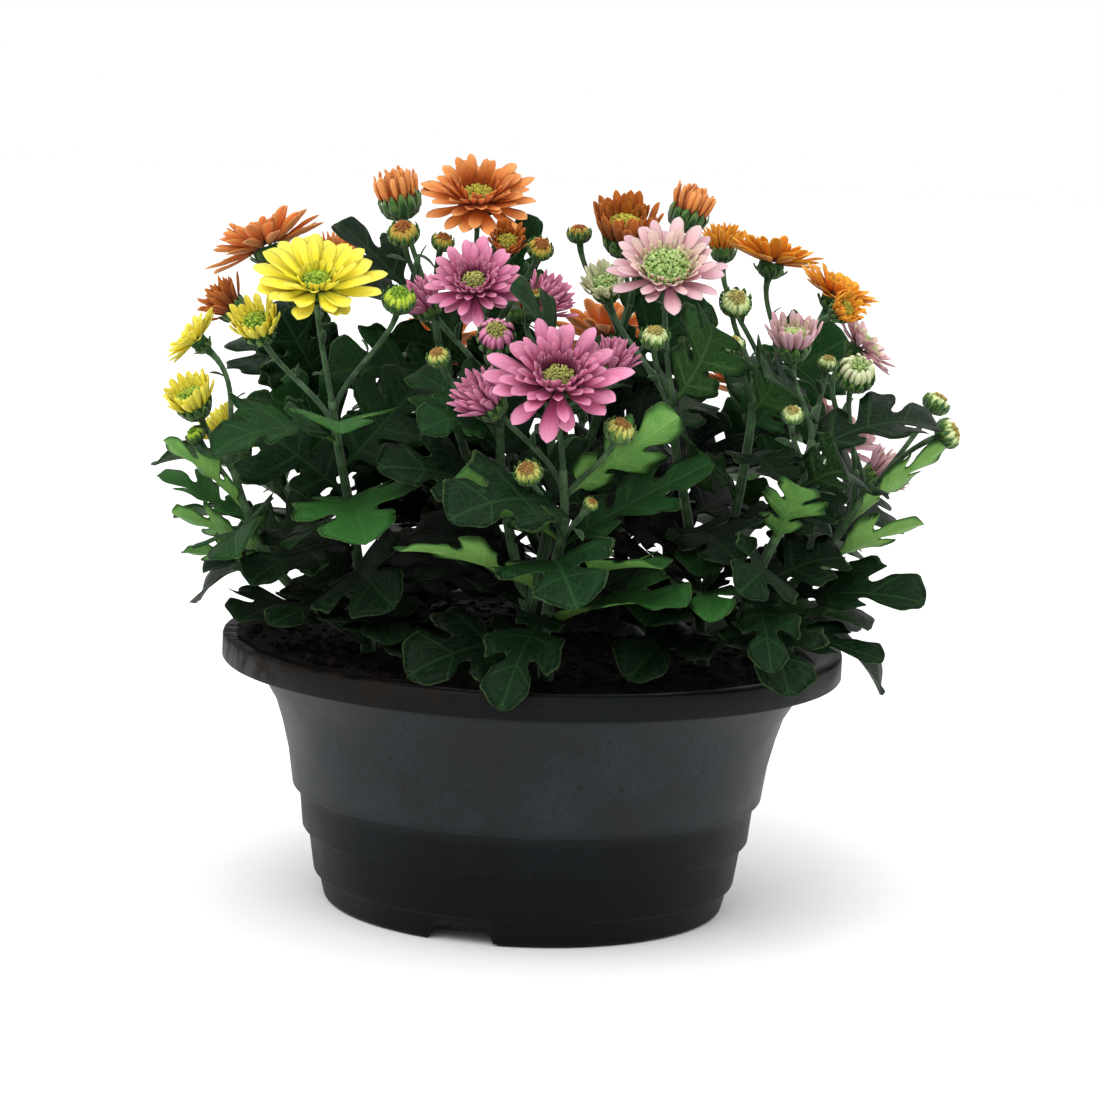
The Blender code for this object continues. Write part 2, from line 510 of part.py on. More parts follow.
def stalk_line(name):
    """Centre line of a head's stalk, the head's base and facing, and the cup's offsets and radii along it."""
    kind, shoot, height, middle, facing, size = HEADS[name]
    facing = Vector(facing).normalized()
    base = head_base(kind, Vector(middle), facing, size)
    start, way = along(shoot_path(shoot), height)
    if kind in ("open", "back"):
        cup = ((-6.0, 1.3), (-3.4, 0.085 * size), (-GAP, 0.115 * size))
    elif kind == "half":
        cup = ((-0.32 * size, 1.2), (-0.14 * size, 0.27 * size), (-GAP, 0.25 * size))
    elif kind == "bud":
        cup = ((-0.48 * size, 1.2), (-0.3 * size, 0.36 * size), (-GAP, 0.46 * size))
    else:
        cup = ((-0.5 * size, 1.0), (-0.1 * size, 0.52 * size), (0.46 * size, 0.24 * size))
    neck = base + facing * cup[0][0]
    reach = (neck - start).length
    return curve(start, way * reach * 0.3, facing * reach * 0.35, neck, 2), base, facing, cup


def stalk_shape(name):
    """Stalk with the green cup of the head, or with the whole bud where the head is still closed."""
    path, base, facing, cup = stalk_line(name)
    points, faces = tube(path, [STALK_RADIUS * 1.2, STALK_RADIUS, cup[0][1]], STALK_SIDES)
    faces.pop()
    last = len(points) - STALK_SIDES
    spoke = points[last] - path[-1]
    spoke = (spoke - facing * spoke.dot(facing)).normalized()
    other = facing.cross(spoke)
    low = len(points)
    for offset, radius in cup[1:]:
        for j in range(CUP_SIDES):
            angle = math.tau * j / CUP_SIDES
            arm = spoke * math.cos(angle) + other * math.sin(angle)
            points.append(base + facing * offset + arm * radius)
    for i in range(STALK_SIDES):
        k = (i + 1) % STALK_SIDES
        mid = low + 2 * i + 1
        faces.append((last + i, last + k, mid))
        faces.append((last + k, low + (2 * i + 2) % CUP_SIDES, mid))
        faces.append((last + i, mid, low + 2 * i))
    for level in range(len(cup) - 2):
        row = low + level * CUP_SIDES
        for j in range(CUP_SIDES):
            k = (j + 1) % CUP_SIDES
            faces.append((row + j, row + k, row + CUP_SIDES + k, row + CUP_SIDES + j))
    faces.append(tuple(range(len(points) - CUP_SIDES, len(points))))
    return points, faces


def petal_ring(points, faces, lower, upper, count, turn, reach, lift, half_width, curl, blunt):
    """Petals that grow from a ring of root quads between two circles of hub points.

    Each petal is a blade with a lens-shaped section, widest at its belly, with a blunt or a pointed tip.
    """
    for j in range(count):
        k = (j + 1) % count
        angle = turn + math.tau * (j + 0.5) / count
        out = Vector((math.cos(angle), math.sin(angle), 0.0))
        side = Vector((-math.sin(angle), math.cos(angle), 0.0))
        up = Vector((0.0, 0.0, 1.0))
        root = (points[lower + j] + points[upper + k]) * 0.5
        root = out * root.dot(out) + up * root.z
        part = reach * PETAL_BELLY
        belly = root + out * (part * math.cos(lift)) + up * (part * math.sin(lift))
        end = root + out * (reach * math.cos(lift)) + up * (reach * math.sin(lift) + curl)
        across = up * math.cos(lift) - out * math.sin(lift)
        first = len(points)
        points.append(belly - side * half_width + across * 0.5)
        points.append(belly + side * half_width + across * 0.5)
        points.append(belly + across * 0.25)
        points.append(belly - across * 0.75)
        left, right, top, under, tip = range(first, first + 5)
        bl, br, tl, tr = lower + j, lower + k, upper + j, upper + k
        faces.extend((
            (tl, top, tr), (tl, left, top), (tr, top, right), (bl, br, under), (bl, under, left),
            (br, right, under), (bl, left, tl), (br, tr, right),
        ))
        if blunt:
            points.append(end - side * half_width * 0.5)
            points.append(end + side * half_width * 0.5)
            faces.extend((
                (left, tip, top), (top, tip, tip + 1), (top, tip + 1, right),
                (left, under, tip), (under, tip + 1, tip), (under, right, tip + 1),
            ))
        else:
            points.append(end)
            faces.extend(((left, tip, top), (top, tip, right), (left, under, tip), (under, right, tip)))


def bloom_shape(size, count):
    """Two layers of petals on a low hub, in the head's own frame with the hub's underside at zero."""
    half = size * 0.5
    outer_hub = size * 0.15
    inner_hub = size * 0.125
    pitch = math.pi / count
    points = ring_points(outer_hub, 0.0, count, 0.0)
    points += ring_points(outer_hub, HUB_STEP, count, 0.0)
    points += ring_points(inner_hub, HUB_HEIGHT - HUB_STEP, count, pitch)
    points += ring_points(inner_hub, HUB_HEIGHT, count, pitch)
    faces = [tuple(range(count))[::-1]]
    for j in range(count):
        k = (j + 1) % count
        faces.append((count + j, count + k, 2 * count + j))
        faces.append((count + k, 2 * count + k, 2 * count + j))
    faces.append(tuple(range(3 * count, 4 * count)))
    width = math.pi * half * PETAL_FILL / count
    petal_ring(points, faces, 0, count, count, 0.0, half - outer_hub, OUTER_LIFT, width, 0.6, True)
    petal_ring(points, faces, 2 * count, 3 * count, count, pitch, half * 0.84 - inner_hub,
               INNER_LIFT, width * 0.86, 0.8, False)
    return points, faces


def eye_shape(size, count=8):
    """Low dome of florets with a zigzag edge that stands on the hub."""
    radius = size * 0.12
    points = ring_points(radius, HUB_HEIGHT + GAP, count, 0.0)
    points += ring_points(radius * 0.82, HUB_HEIGHT + size * 0.055, count, 0.0)
    for j in range(count):
        points[count + j].z += 0.5 if j % 2 else -0.5
    points.append(Vector((0.0, 0.0, HUB_HEIGHT + size * 0.07)))
    faces = [tuple(range(count))[::-1]]
    for j in range(count):
        k = (j + 1) % count
        faces.append((j, k, count + k, count + j))
        faces.append((count + j, count + k, 2 * count))
    return points, faces


def half_shape(size, count=7):
    """Half-open head: a ring of upright petals round a domed middle of florets."""
    hub = size * 0.27
    points = ring_points(hub, 0.0, count, 0.0) + ring_points(hub * 0.96, size * 0.12, count, 0.0)
    faces = [tuple(range(count))[::-1]]
    points.append(Vector((0.0, 0.0, size * 0.5)))
    for j in range(count):
        faces.append((count + j, count + (j + 1) % count, 2 * count))
    width = math.pi * size * 0.5 * HALF_OPEN_FILL / count
    petal_ring(points, faces, 0, count, count, 0.0, size * 0.62, HALF_OPEN_LIFT, width, size * 0.1, False)
    return points, faces


def bud_shape(size, count=8):
    """Large bud's coloured top: a ribbed dome that fills the green cup."""
    points = ring_points(size * 0.4, 0.0, count, 0.0)
    points += ring_points(size * 0.47, size * 0.22, count, 0.2)
    points += ring_points(size * 0.3, size * 0.46, count, 0.4)
    for j in range(0, count, 2):
        points[2 * count + j].z += size * 0.07
    points.append(Vector((0.0, 0.0, size * 0.4)))
    faces = [tuple(range(count))[::-1]]
    for j in range(count):
        k = (j + 1) % count
        faces.append((j, k, count + k, count + j))
        faces.append((count + j, count + k, 2 * count + k, 2 * count + j))
        faces.append((2 * count + j, 2 * count + k, 3 * count))
    return points, faces


def head_frame(name):
    """Matrix from a head's own frame to the object's, with a turn about its axis that differs by head."""
    kind, _, _, middle, facing, size = HEADS[name]
    facing = Vector(facing).normalized()
    base = head_base(kind, Vector(middle), facing, size)
    turn = Matrix.Rotation(1.7 * list(HEADS).index(name), 4, "Z")
    return Matrix.Translation(base) @ facing.to_track_quat("Z", "Y").to_matrix().to_4x4() @ turn


def placed(name, shape):
    """Head shape moved into place."""
    frame = head_frame(name)
    points, faces = shape
    return [frame @ point for point in points], faces


def head_colour(name):
    """Petal colour of a head."""
    if name == "w2":
        return "cream"
    return {"b": "bronze", "a": "amber", "k": "bronze", "y": "yellow", "p": "pink", "w": "pale"}[name[0]]


def head_shapes():
    """Every head piece as object name, shape and colour."""
    pieces = []
    for name, (kind, _, _, _, _, size) in HEADS.items():
        colour = head_colour(name)
        if kind == "open":
            count = 11 if size > 36 else 9
            pieces.append(("bloom_%s_petals" % name, placed(name, bloom_shape(size, count)), colour))
        elif kind == "back":
            pieces.append(("bloom_%s_petals" % name, placed(name, bloom_shape(size, 7)), colour))
        elif kind == "half":
            pieces.append(("head_" + name, placed(name, half_shape(size)), colour))
        elif kind == "bud":
            pieces.append(("bud_" + name, placed(name, bud_shape(size)), colour))
        if kind in ("open", "back"):
            eye = "eye_lime" if colour == "pale" else "eye_green"
            pieces.append(("bloom_%s_eye" % name, placed(name, eye_shape(size)), eye))
    return pieces


def leaf_shape(base, tip, upper, width, bend, thickness=LEAF_THICKNESS):
    """Lobed leaf on a short stalk, arched along its length and folded a little along its rib.

    The blade's section is a lens: the edge points are shared and the rib points lie above and below.
    """
    chord = tip - base
    span = chord.length
    ahead = chord.normalized()
    normal = (upper - ahead * upper.dot(ahead)).normalized()
    side = ahead.cross(normal)
    arc = math.radians(bend)
    length = span * (arc / 2.0) / math.sin(arc / 2.0)

    def spot(share, across):
        """Point of the middle surface and its normal."""
        angle = arc / 2.0 - arc * share
        radius = length / arc
        run = radius * (math.sin(arc / 2.0) - math.sin(angle))
        rise = radius * (math.cos(angle) - math.cos(arc / 2.0))
        lift = abs(across) * width * LEAF_FOLD
        point = base + ahead * run + normal * (rise + lift) + side * (across * width * 0.5)
        return point, normal * math.cos(angle) + ahead * math.sin(angle) * -1.0

    points = []
    index = {}
    for key, share in zip(("r0", "r1", "r2"), LEAF_RIB):
        point, across = spot(share, 0.0)
        index[key] = (len(points), len(points) + 1)
        points.append(point + across * thickness * 0.5)
        points.append(point - across * thickness * 0.5)
    index["tip"] = (len(points), len(points))
    points.append(spot(1.0, 0.0)[0])
    for hand in (1, -1):
        for number, (share, reach) in enumerate(LEAF_EDGE):
            index[(hand, number)] = (len(points), len(points))
            points.append(spot(share, hand * reach)[0])
    faces = []
    for hand in (1, -1):
        for corners in LEAF_HALF_FACES:
            keys = [c if isinstance(c, str) else (hand, c) for c in corners]
            upper_face = tuple(index[key][0] for key in keys)
            lower_face = tuple(index[key][1] for key in keys)
            if hand == 1:
                faces.append(upper_face[::-1])
                faces.append(lower_face)
            else:
                faces.append(upper_face)
                faces.append(lower_face[::-1])
    top, under = index["r0"]
    faces.append((top, index[(1, 0)][0], under))
    faces.append((top, under, index[(-1, 0)][0]))
    return points, faces


def head_block(name):
    """Plain body round a whole head, which leaves keep clear of."""
    kind, _, _, middle, facing, size = HEADS[name]
    facing = Vector(facing).normalized()
    base = head_base(kind, Vector(middle), facing, size)
    rings = {
        "open": ((0.0, 0.16), (0.02, 0.5), (0.22, 0.52), (0.3, 0.3)),
        "back": ((0.0, 0.16), (0.02, 0.5), (0.22, 0.52), (0.3, 0.3)),
        "half": ((0.0, 0.28), (0.3, 0.52), (0.8, 0.46)),
        "bud": ((0.0, 0.47), (0.25, 0.5), (0.6, 0.3)),
        "closed": ((-0.4, 0.4), (0.0, 0.52), (0.46, 0.3)),
    }[kind]
    path = [base + facing * (size * height) for height, _ in rings]
    return tube(path, [size * radius for _, radius in rings], CUP_SIDES + 2)


def stalk_block(name):
    """Plain tube round a stalk and its cup, which leaves keep clear of."""
    path, base, facing, cup = stalk_line(name)
    radii = [STALK_RADIUS * 1.2, STALK_RADIUS, cup[0][1]]
    for offset, radius in cup[1:]:
        path.append(base + facing * offset)
        radii.append(radius)
    return tube(path, radii, CUP_SIDES)


def bowl_block():
    """Plain body round the pot and its soil, which leaves keep clear of."""
    brim = RIM_RADIUS + 1.3
    top = RIM_HEIGHT + 2.6
    outline = ((FOOT_RADIUS, 0.0), (98.0, 79.0), (brim, 88.5), (brim, 99.8), (112.0, top))
    rings = [circle(radius, height) for radius, height in outline]
    return turned(rings, Vector((0, 0, 0)), Vector((0, 0, top)))


def shoot_shape(name):
    """Tapered tube of a shoot."""
    path = shoot_path(name)
    taper = (SHOOT_TOP_RADIUS - SHOOT_FOOT_RADIUS) / (len(path) - 1)
    radii = [SHOOT_FOOT_RADIUS + taper * i for i in range(len(path))]
    return tube(path, radii, SHOOT_SIDES)


def tree(shape):
    """Search tree of a shape's faces."""
    points, faces = shape
    return BVHTree.FromPolygons([tuple(point) for point in points], faces)


def is_clear(leaf, others, own):
    """Whether a leaf is clear of the other shapes, and past its stalk of the plant's own stems."""
    base, tip, upper, width, bend = leaf
    thick = LEAF_THICKNESS + 2 * LEAF_CLEARANCE
    far = base + (tip - base) * 1.02
    whole = tree(leaf_shape(base, far, upper, width + LEAF_BROADEN, bend, thick))
    for other in others:
        if whole.overlap(other):
            return False
    blade = tree(leaf_shape(base.lerp(tip, LEAF_BARE), far, upper, width + LEAF_BROADEN, bend, thick))
    for stem in own:
        if blade.overlap(stem):
            return False
    return True


def spiral_trials(shoot, order):
    """Trials for every leaf up a shoot: each a golden turn on from the last, most of them facing outward."""
    path = shoot_path(shoot)
    height = max(LEAF_START, path[0].z + 6.0) + 1.3 * (order % 5)
    number = 0
    while height < path[-1].z - 6.0:
        base, way = along(path, height)
        share = (height - LEAF_START) / 100.0
        outward = math.atan2(base.y, base.x)
        away = (GOLDEN_TURN * number + order * 2.1 - outward + math.pi) % math.tau - math.pi
        length = (LEAF_LENGTH - LEAF_SHORTER * share) * (1.0 - INWARD_SHORTER * abs(away) / math.pi)
        wave = LEAF_WAVE * math.sin(2.4 * number + order)
        roll = LEAF_ROLL * math.sin(1.9 * number + 1.7 * order)
        radial = Vector((base.x, base.y, 0.0)).normalized()
        trials = []
        for turn, lift, factor in LEAF_TRIALS:
            heading = outward + away * 0.8 + math.radians(turn)
            rise = math.radians(LEAF_RISE + LEAF_RISE_MORE * share + wave + lift)
            flat = Vector((math.cos(heading), math.sin(heading), 0.0))
            reach = flat * math.cos(rise) + Vector((0, 0, math.sin(rise)))
            across = Vector((-flat.y, flat.x, 0.0))
            upper = Vector((0, 0, math.cos(rise))) - flat * math.sin(rise)
            upper += across * roll + radial * LEAF_OUTWARD
            run = length * factor
            trials.append((base, base + reach * run, upper, run * LEAF_WIDTH_SHARE, LEAF_BEND))
        yield trials
        height += LEAF_STEP * max(0.35, way.z)
        number += 1


def placed_trials(shoot, height, tip, upper, width, bend):
    """Trials for a large leaf in view, which moves less than the others."""
    base, _ = along(shoot_path(shoot), height)
    trials = []
    for turn, lift, factor in LEAF_TRIALS:
        way = (Vector(tip) - base) * factor
        way.rotate(Matrix.Rotation(math.radians(turn * 0.5), 3, "Z"))
        way.z += lift * 0.3
        trials.append((base, base + way, Vector(upper), width * (0.5 + 0.5 * factor), bend))
    return trials


def grow_leaves():
    """Leaves of each plant: the large leaves in view first, then the spiral up every shoot.

    A leaf takes the first of its trials that is clear of all that stands before it, or is left out.
    """
    leaves = {plant: [] for plant in FEET}
    stems = {plant: [] for plant in FEET}
    for shoot, (plant, _, _, _) in SHOOTS.items():
        stems[plant].append(tree(shoot_shape(shoot)))
    for name, head in HEADS.items():
        stems[SHOOTS[head[1]][0]].append(tree(stalk_block(name)))
    taken = [tree(bowl_block())] + [tree(head_block(name)) for name in HEADS]
    wanted = [(SHOOTS[row[0]][0], placed_trials(*row)) for row in PLACED_LEAVES]
    for order, (shoot, (plant, _, _, _)) in enumerate(SHOOTS.items()):
        wanted += [(plant, trials) for trials in spiral_trials(shoot, order)]
    for plant, trials in wanted:
        others = list(taken)
        for name, trees in stems.items():
            if name != plant:
                others.extend(trees)
        for leaf in trials:
            if is_clear(leaf, others, stems[plant]):
                leaves[plant].append(leaf)
                taken.append(tree(leaf_shape(*leaf)))
                break
    return leaves


def make_plants():
    """The four plants, each fused into one body that stands in its hole."""
    leaves = grow_leaves()
    for plant, foot in FEET.items():
        shapes = [shoot_shape(name) for name, row in SHOOTS.items() if row[0] == plant]
        shapes += [stalk_shape(name) for name, head in HEADS.items() if SHOOTS[head[1]][0] == plant]
        shapes += [leaf_shape(*leaf) for leaf in leaves[plant]]
        stem_foot = prism(foot, polygon(FOOT_STEM_RADIUS, 6), FOOT_STEM_BOTTOM, FOOT_STEM_TOP)
        body = make_object("plant_" + plant, stem_foot, "green", 0.7)
        others = [make_object("%s_bit_%d" % (plant, i), shape, None) for i, shape in enumerate(shapes)]
        combine(body, others, "UNION")


def main():
    """Build the pot, the soil, the heads and the plants."""
    clear_scene()
    make_pot()
    make_soil()
    for name, shape, colour in head_shapes():
        make_object(name, shape, colour, 0.6)
    make_plants()


main()
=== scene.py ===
"""Pot of four chrysanthemum plants in flower: the finish of every surface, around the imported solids.

Metres, +Z up, with the origin under the middle of the pot and the front facing -Y.
The tables and the shapes made from them are in millimetres, and are scaled when an object is made.
"""
import math

import bpy
import numpy as np
from mathutils import Matrix, Vector


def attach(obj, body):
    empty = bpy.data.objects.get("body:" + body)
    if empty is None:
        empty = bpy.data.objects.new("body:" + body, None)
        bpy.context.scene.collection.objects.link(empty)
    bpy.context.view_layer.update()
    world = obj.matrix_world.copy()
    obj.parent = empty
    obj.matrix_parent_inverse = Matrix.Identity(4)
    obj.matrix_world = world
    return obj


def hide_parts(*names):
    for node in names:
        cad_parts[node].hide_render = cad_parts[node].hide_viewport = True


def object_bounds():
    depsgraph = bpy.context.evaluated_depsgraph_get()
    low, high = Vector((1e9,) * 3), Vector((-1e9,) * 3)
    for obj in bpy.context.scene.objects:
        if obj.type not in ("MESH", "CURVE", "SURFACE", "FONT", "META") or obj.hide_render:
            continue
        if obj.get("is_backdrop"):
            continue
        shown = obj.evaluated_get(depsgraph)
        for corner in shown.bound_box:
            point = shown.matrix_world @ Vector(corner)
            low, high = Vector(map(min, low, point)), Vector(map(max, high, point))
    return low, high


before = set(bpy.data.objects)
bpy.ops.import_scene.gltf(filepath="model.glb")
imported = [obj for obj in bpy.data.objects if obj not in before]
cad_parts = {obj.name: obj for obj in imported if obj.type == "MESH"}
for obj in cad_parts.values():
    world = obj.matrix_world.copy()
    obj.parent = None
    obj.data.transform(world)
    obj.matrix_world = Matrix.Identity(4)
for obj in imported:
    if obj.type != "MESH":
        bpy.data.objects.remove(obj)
CAD_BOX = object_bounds()

MM = 0.001
GAP = 0.3

# Seed of the random numbers, and what is added to it for each kind of piece.
SEED = 11
PETAL_SEED = 0
EYE_SEED = 7
CUP_SEED = 13
PLANT_SEED = 100
SOIL_SEED = 200

# Stems: height of the top of a plant's foot, and radii.
FOOT_STEM_TOP = 99.0
SHOOT_FOOT_RADIUS = 2.3
SHOOT_TOP_RADIUS = 1.3
STALK_RADIUS = 0.95
GOLDEN_TURN = math.radians(137.5)

# Leaves that grow by a rule: heights and lengths in millimetres, bend, rise and wave in degrees, and shares.
LEAF_STEP = 11.0
LEAF_START = 106.0
LEAF_LENGTH = 68.0
LEAF_SHORTER = 18.0
INWARD_SHORTER = 0.25
LEAF_WIDTH_SHARE = 0.72
LEAF_BEND = 64.0
LEAF_RISE = -8.0
LEAF_RISE_MORE = 42.0
LEAF_WAVE = 14.0
LEAF_ROLL = 0.45
LEAF_OUTWARD = 0.75
LEAF_FOLD = 0.16
LEAF_MARGIN = 6.0
LEAF_STAGGER = 1.3
LEAF_ZONE = 100.0
LEAF_SPREAD = 0.8
LEAST_STEP = 0.35
PLACED_TURN = 0.5
PLACED_LIFT = 0.3

# Stem foot of each plant in the soil.
FEET = {"yellow": (-60.0, -25.0), "bronze": (0.0, 45.0), "pink": (5.0, -65.0), "pale": (62.0, -25.0)}

# Leafy shoots: the plant, the shoot it grows from with the height there, and the points it passes through.
SHOOTS = {
    "ya": ("yellow", None, 0, ((-62, -32, 115), (-66, -45, 145), (-71, -56, 172), (-74, -62, 191))),
    "yb": ("yellow", "ya", 100, ((-76, -34, 111), (-92, -38, 125), (-103, -39, 144), (-110, -38, 162))),
    "yc": ("yellow", "ya", 106, ((-74, -4, 118), (-88, 24, 132), (-98, 48, 148))),
    "bd": ("bronze", None, 0, ((6, 42, 120), (16, 34, 160), (26, 24, 200), (31, 20, 225))),
    "ba": ("bronze", "bd", 118, ((-6, 36, 142), (-16, 24, 185), (-25, 15, 215))),
    "bb": ("bronze", "bd", 108, ((-14, 36, 130), (-32, 22, 175), (-43, 6, 223))),
    "bc": ("bronze", "bd", 101, ((-22, 47, 115), (-52, 48, 142), (-80, 47, 175), (-93, 45, 206))),
    "be": ("bronze", "bd", 111, ((26, 46, 126), (52, 46, 148), (76, 43, 177), (88, 38, 204))),
    "bg": ("bronze", "bd", 105, ((6, 62, 122), (12, 78, 150), (18, 92, 182))),
    "bf": ("bronze", "bg", 124, ((-16, 74, 140), (-34, 84, 160), (-42, 87, 174))),
    "bh": ("bronze", "bg", 120, ((36, 72, 134), (60, 80, 150), (73, 83, 164))),
    "pa": ("pink", None, 0, ((4, -72, 112), (6, -82, 135), (9, -89, 155), (8, -92, 174))),
    "pb": ("pink", "pa", 105, ((-5, -62, 128), (-13, -66, 165), (-15, -70, 195))),
    "pc": ("pink", "pb", 120, ((4, -54, 150), (3, -50, 185), (0, -50, 208))),
    "wa": ("pale", None, 0, ((60, -32, 116), (54, -44, 150), (47, -55, 182), (44, -60, 204))),
    "wb": ("pale", "wa", 100, ((72, -50, 114), (80, -58, 138), (92, -54, 165), (96, -50, 183))),
    "wc": ("pale", "wa", 120, ((69, -35, 145), (74, -42, 180), (75, -45, 204))),
    "wd": ("pale", "wa", 104, ((76, -27, 114), (93, -32, 128), (107, -34, 145), (116, -35, 160))),
    "we": ("pale", "wa", 106, ((76, -4, 118), (92, 20, 134), (106, 40, 150))),
}

# Flower heads: kind, shoot, height at which the stalk leaves the shoot, middle, facing and diameter.
HEADS = {
    "b1": ("open", "ba", 213, (-27, 15, 261), (0.0, -0.55, 0.83), 46),
    "b2": ("bud", "bb", 218, (-56, 5, 261), (-0.25, -0.1, 0.95), 17),
    "b3": ("closed", "bb", 214, (-53, -15, 249), (-0.1, -0.6, 0.8), 12.5),
    "b4": ("open", "bc", 204, (-107, 40, 239), (-0.42, 0.15, 0.9), 49),
    "b5": ("half", "bc", 192, (-124, 30, 219), (-0.8, -0.1, 0.6), 18),
    "b6": ("half", "bc", 198, (-79, 50, 239), (0.1, 0.0, 1.0), 18),
    "b7": ("half", "ba", 205, (-15, -10, 248), (0.1, -0.75, 0.65), 15),
    "b8": ("closed", "ba", 198, (-3, -12, 245), (0.2, -0.7, 0.7), 10.5),
    "b9": ("closed", "bb", 206, (-39, 5, 245), (0.2, -0.5, 0.8), 9),
    "b10": ("half", "bd", 223, (28, 10, 258), (0.0, -0.45, 0.9), 27),
    "b11": ("bud", "bd", 212, (52, 25, 259), (0.35, 0.0, 0.93), 16),
    "b12": ("closed", "bd", 206, (11, 25, 249), (-0.1, -0.2, 1.0), 10),
    "b13": ("closed", "bd", 200, (32, -2, 246), (0.0, -0.4, 0.9), 10),
    "a14": ("half", "be", 190, (67, 66, 248), (0.0, 0.1, 1.0), 16),
    "a15": ("open", "be", 202, (85, 44, 241), (0.2, 0.1, 0.97), 40),
    "a16": ("open", "be", 194, (107, 12, 232), (0.4, -0.15, 0.88), 34),
    "a17": ("half", "be", 184, (110, -20, 229), (0.65, -0.6, 0.45), 14),
    "k1": ("back", "bf", 172, (-45, 92, 197), (-0.2, 0.45, 0.87), 44),
    "k2": ("back", "bg", 180, (25, 101, 204), (0.05, 0.5, 0.86), 46),
    "k3": ("back", "bh", 162, (80, 90, 188), (0.4, 0.4, 0.82), 42),
    "k4": ("half", "bg", 170, (-12, 76, 222), (-0.1, 0.2, 0.97), 19),
    "k5": ("half", "bh", 156, (52, 70, 214), (0.0, 0.3, 0.95), 18),
    "k6": ("closed", "bf", 164, (-72, 94, 184), (-0.4, 0.3, 0.85), 12),
    "k7": ("closed", "bg", 168, (-2, 114, 192), (-0.2, 0.6, 0.75), 10),
    "k8": ("closed", "bh", 154, (100, 98, 172), (0.5, 0.4, 0.75), 11),
    "y1": ("open", "ya", 189, (-81, -55, 232), (0.0, -0.6, 0.8), 47),
    "y2": ("half", "ya", 178, (-104, -45, 219), (-0.25, -0.65, 0.7), 20),
    "y3": ("open", "yb", 160, (-128, -18, 208), (-0.75, -0.1, 0.65), 26),
    "y4": ("half", "yb", 156, (-128, -35, 191), (-0.35, -0.45, 0.82), 20),
    "y5": ("closed", "ya", 184, (-52, -53, 228), (0.1, -0.6, 0.8), 13),
    "y6": ("closed", "yb", 146, (-125, -30, 174), (-0.5, -0.3, 0.8), 8),
    "yk1": ("back", "yc", 146, (-102, 78, 166), (-0.45, 0.5, 0.74), 42),
    "yk2": ("half", "yc", 140, (-126, 40, 172), (-0.7, 0.1, 0.7), 18),
    "p1": ("open", "pb", 193, (-26, -50, 234), (-0.05, -0.72, 0.7), 39),
    "p2": ("open", "pa", 172, (5, -100, 206), (0.0, -0.68, 0.73), 51),
    "p3": ("half", "pc", 206, (2, -40, 231), (0.55, -0.35, 0.75), 19),
    "p4": ("half", "pb", 186, (-47, -35, 228), (-0.6, -0.3, 0.7), 17),
    "p5": ("bud", "pb", 182, (-17, -75, 218), (0.0, -0.8, 0.6), 14.5),
    "p6": ("half", "pa", 164, (-23, -88, 200), (-0.6, -0.45, 0.65), 20),
    "p7": ("half", "pc", 184, (25, -71, 214), (0.2, -0.2, 0.95), 16),
    "p8": ("closed", "pa", 160, (27, -99, 190), (0.3, -0.4, 0.85), 12),
    "p9": ("closed", "pb", 176, (-37, -75, 210), (-0.3, -0.5, 0.8), 9),
    "p10": ("closed", "pc", 202, (-4, -52, 231), (-0.1, -0.5, 0.8), 5),
    "p11": ("closed", "pa", 150, (-4, -108, 175), (-0.2, -0.7, 0.6), 10.5),
    "p12": ("closed", "pa", 144, (18, -100, 164), (0.4, -0.5, 0.7), 5.5),
    "w1": ("open", "wa", 202, (42, -45, 241), (0.0, -0.65, 0.76), 46),
    "w2": ("half", "wa", 186, (20, -22, 236), (-0.2, -0.65, 0.73), 17.5),
    "w3": ("half", "wb", 181, (88, -40, 223), (-0.05, -0.35, 0.93), 21),
    "w4": ("closed", "wc", 200, (67, -46, 231), (0.1, -0.75, 0.65), 12.5),
    "w5": ("closed", "wa", 192, (38, -72, 220), (0.0, -0.5, 0.86), 11),
    "w6": ("closed", "wc", 192, (66, -60, 217), (-0.2, -0.5, 0.8), 9),
    "w7": ("open", "wd", 158, (117, -3, 214), (0.72, -0.1, 0.68), 32),
    "w8": ("bud", "wd", 152, (112, -37, 207), (0.15, -0.7, 0.7), 15),
    "w9": ("closed", "wb", 172, (103, -16, 208), (0.1, -0.4, 0.9), 8),
    "w10": ("closed", "wb", 168, (87, -75, 195), (0.0, -0.6, 0.8), 8.5),
    "w11": ("closed", "wd", 148, (144, -13, 195), (0.5, 0.0, 0.85), 11),
    "w12": ("closed", "wd", 140, (148, -24, 185), (0.85, -0.2, 0.4), 12),
    "w13": ("closed", "wb", 156, (103, -62, 176), (0.3, -0.5, 0.8), 6),
    "wk1": ("back", "we", 148, (114, 60, 172), (0.5, 0.45, 0.74), 42),
    "wk2": ("half", "we", 142, (132, 22, 166), (0.8, 0.0, 0.6), 18),
}

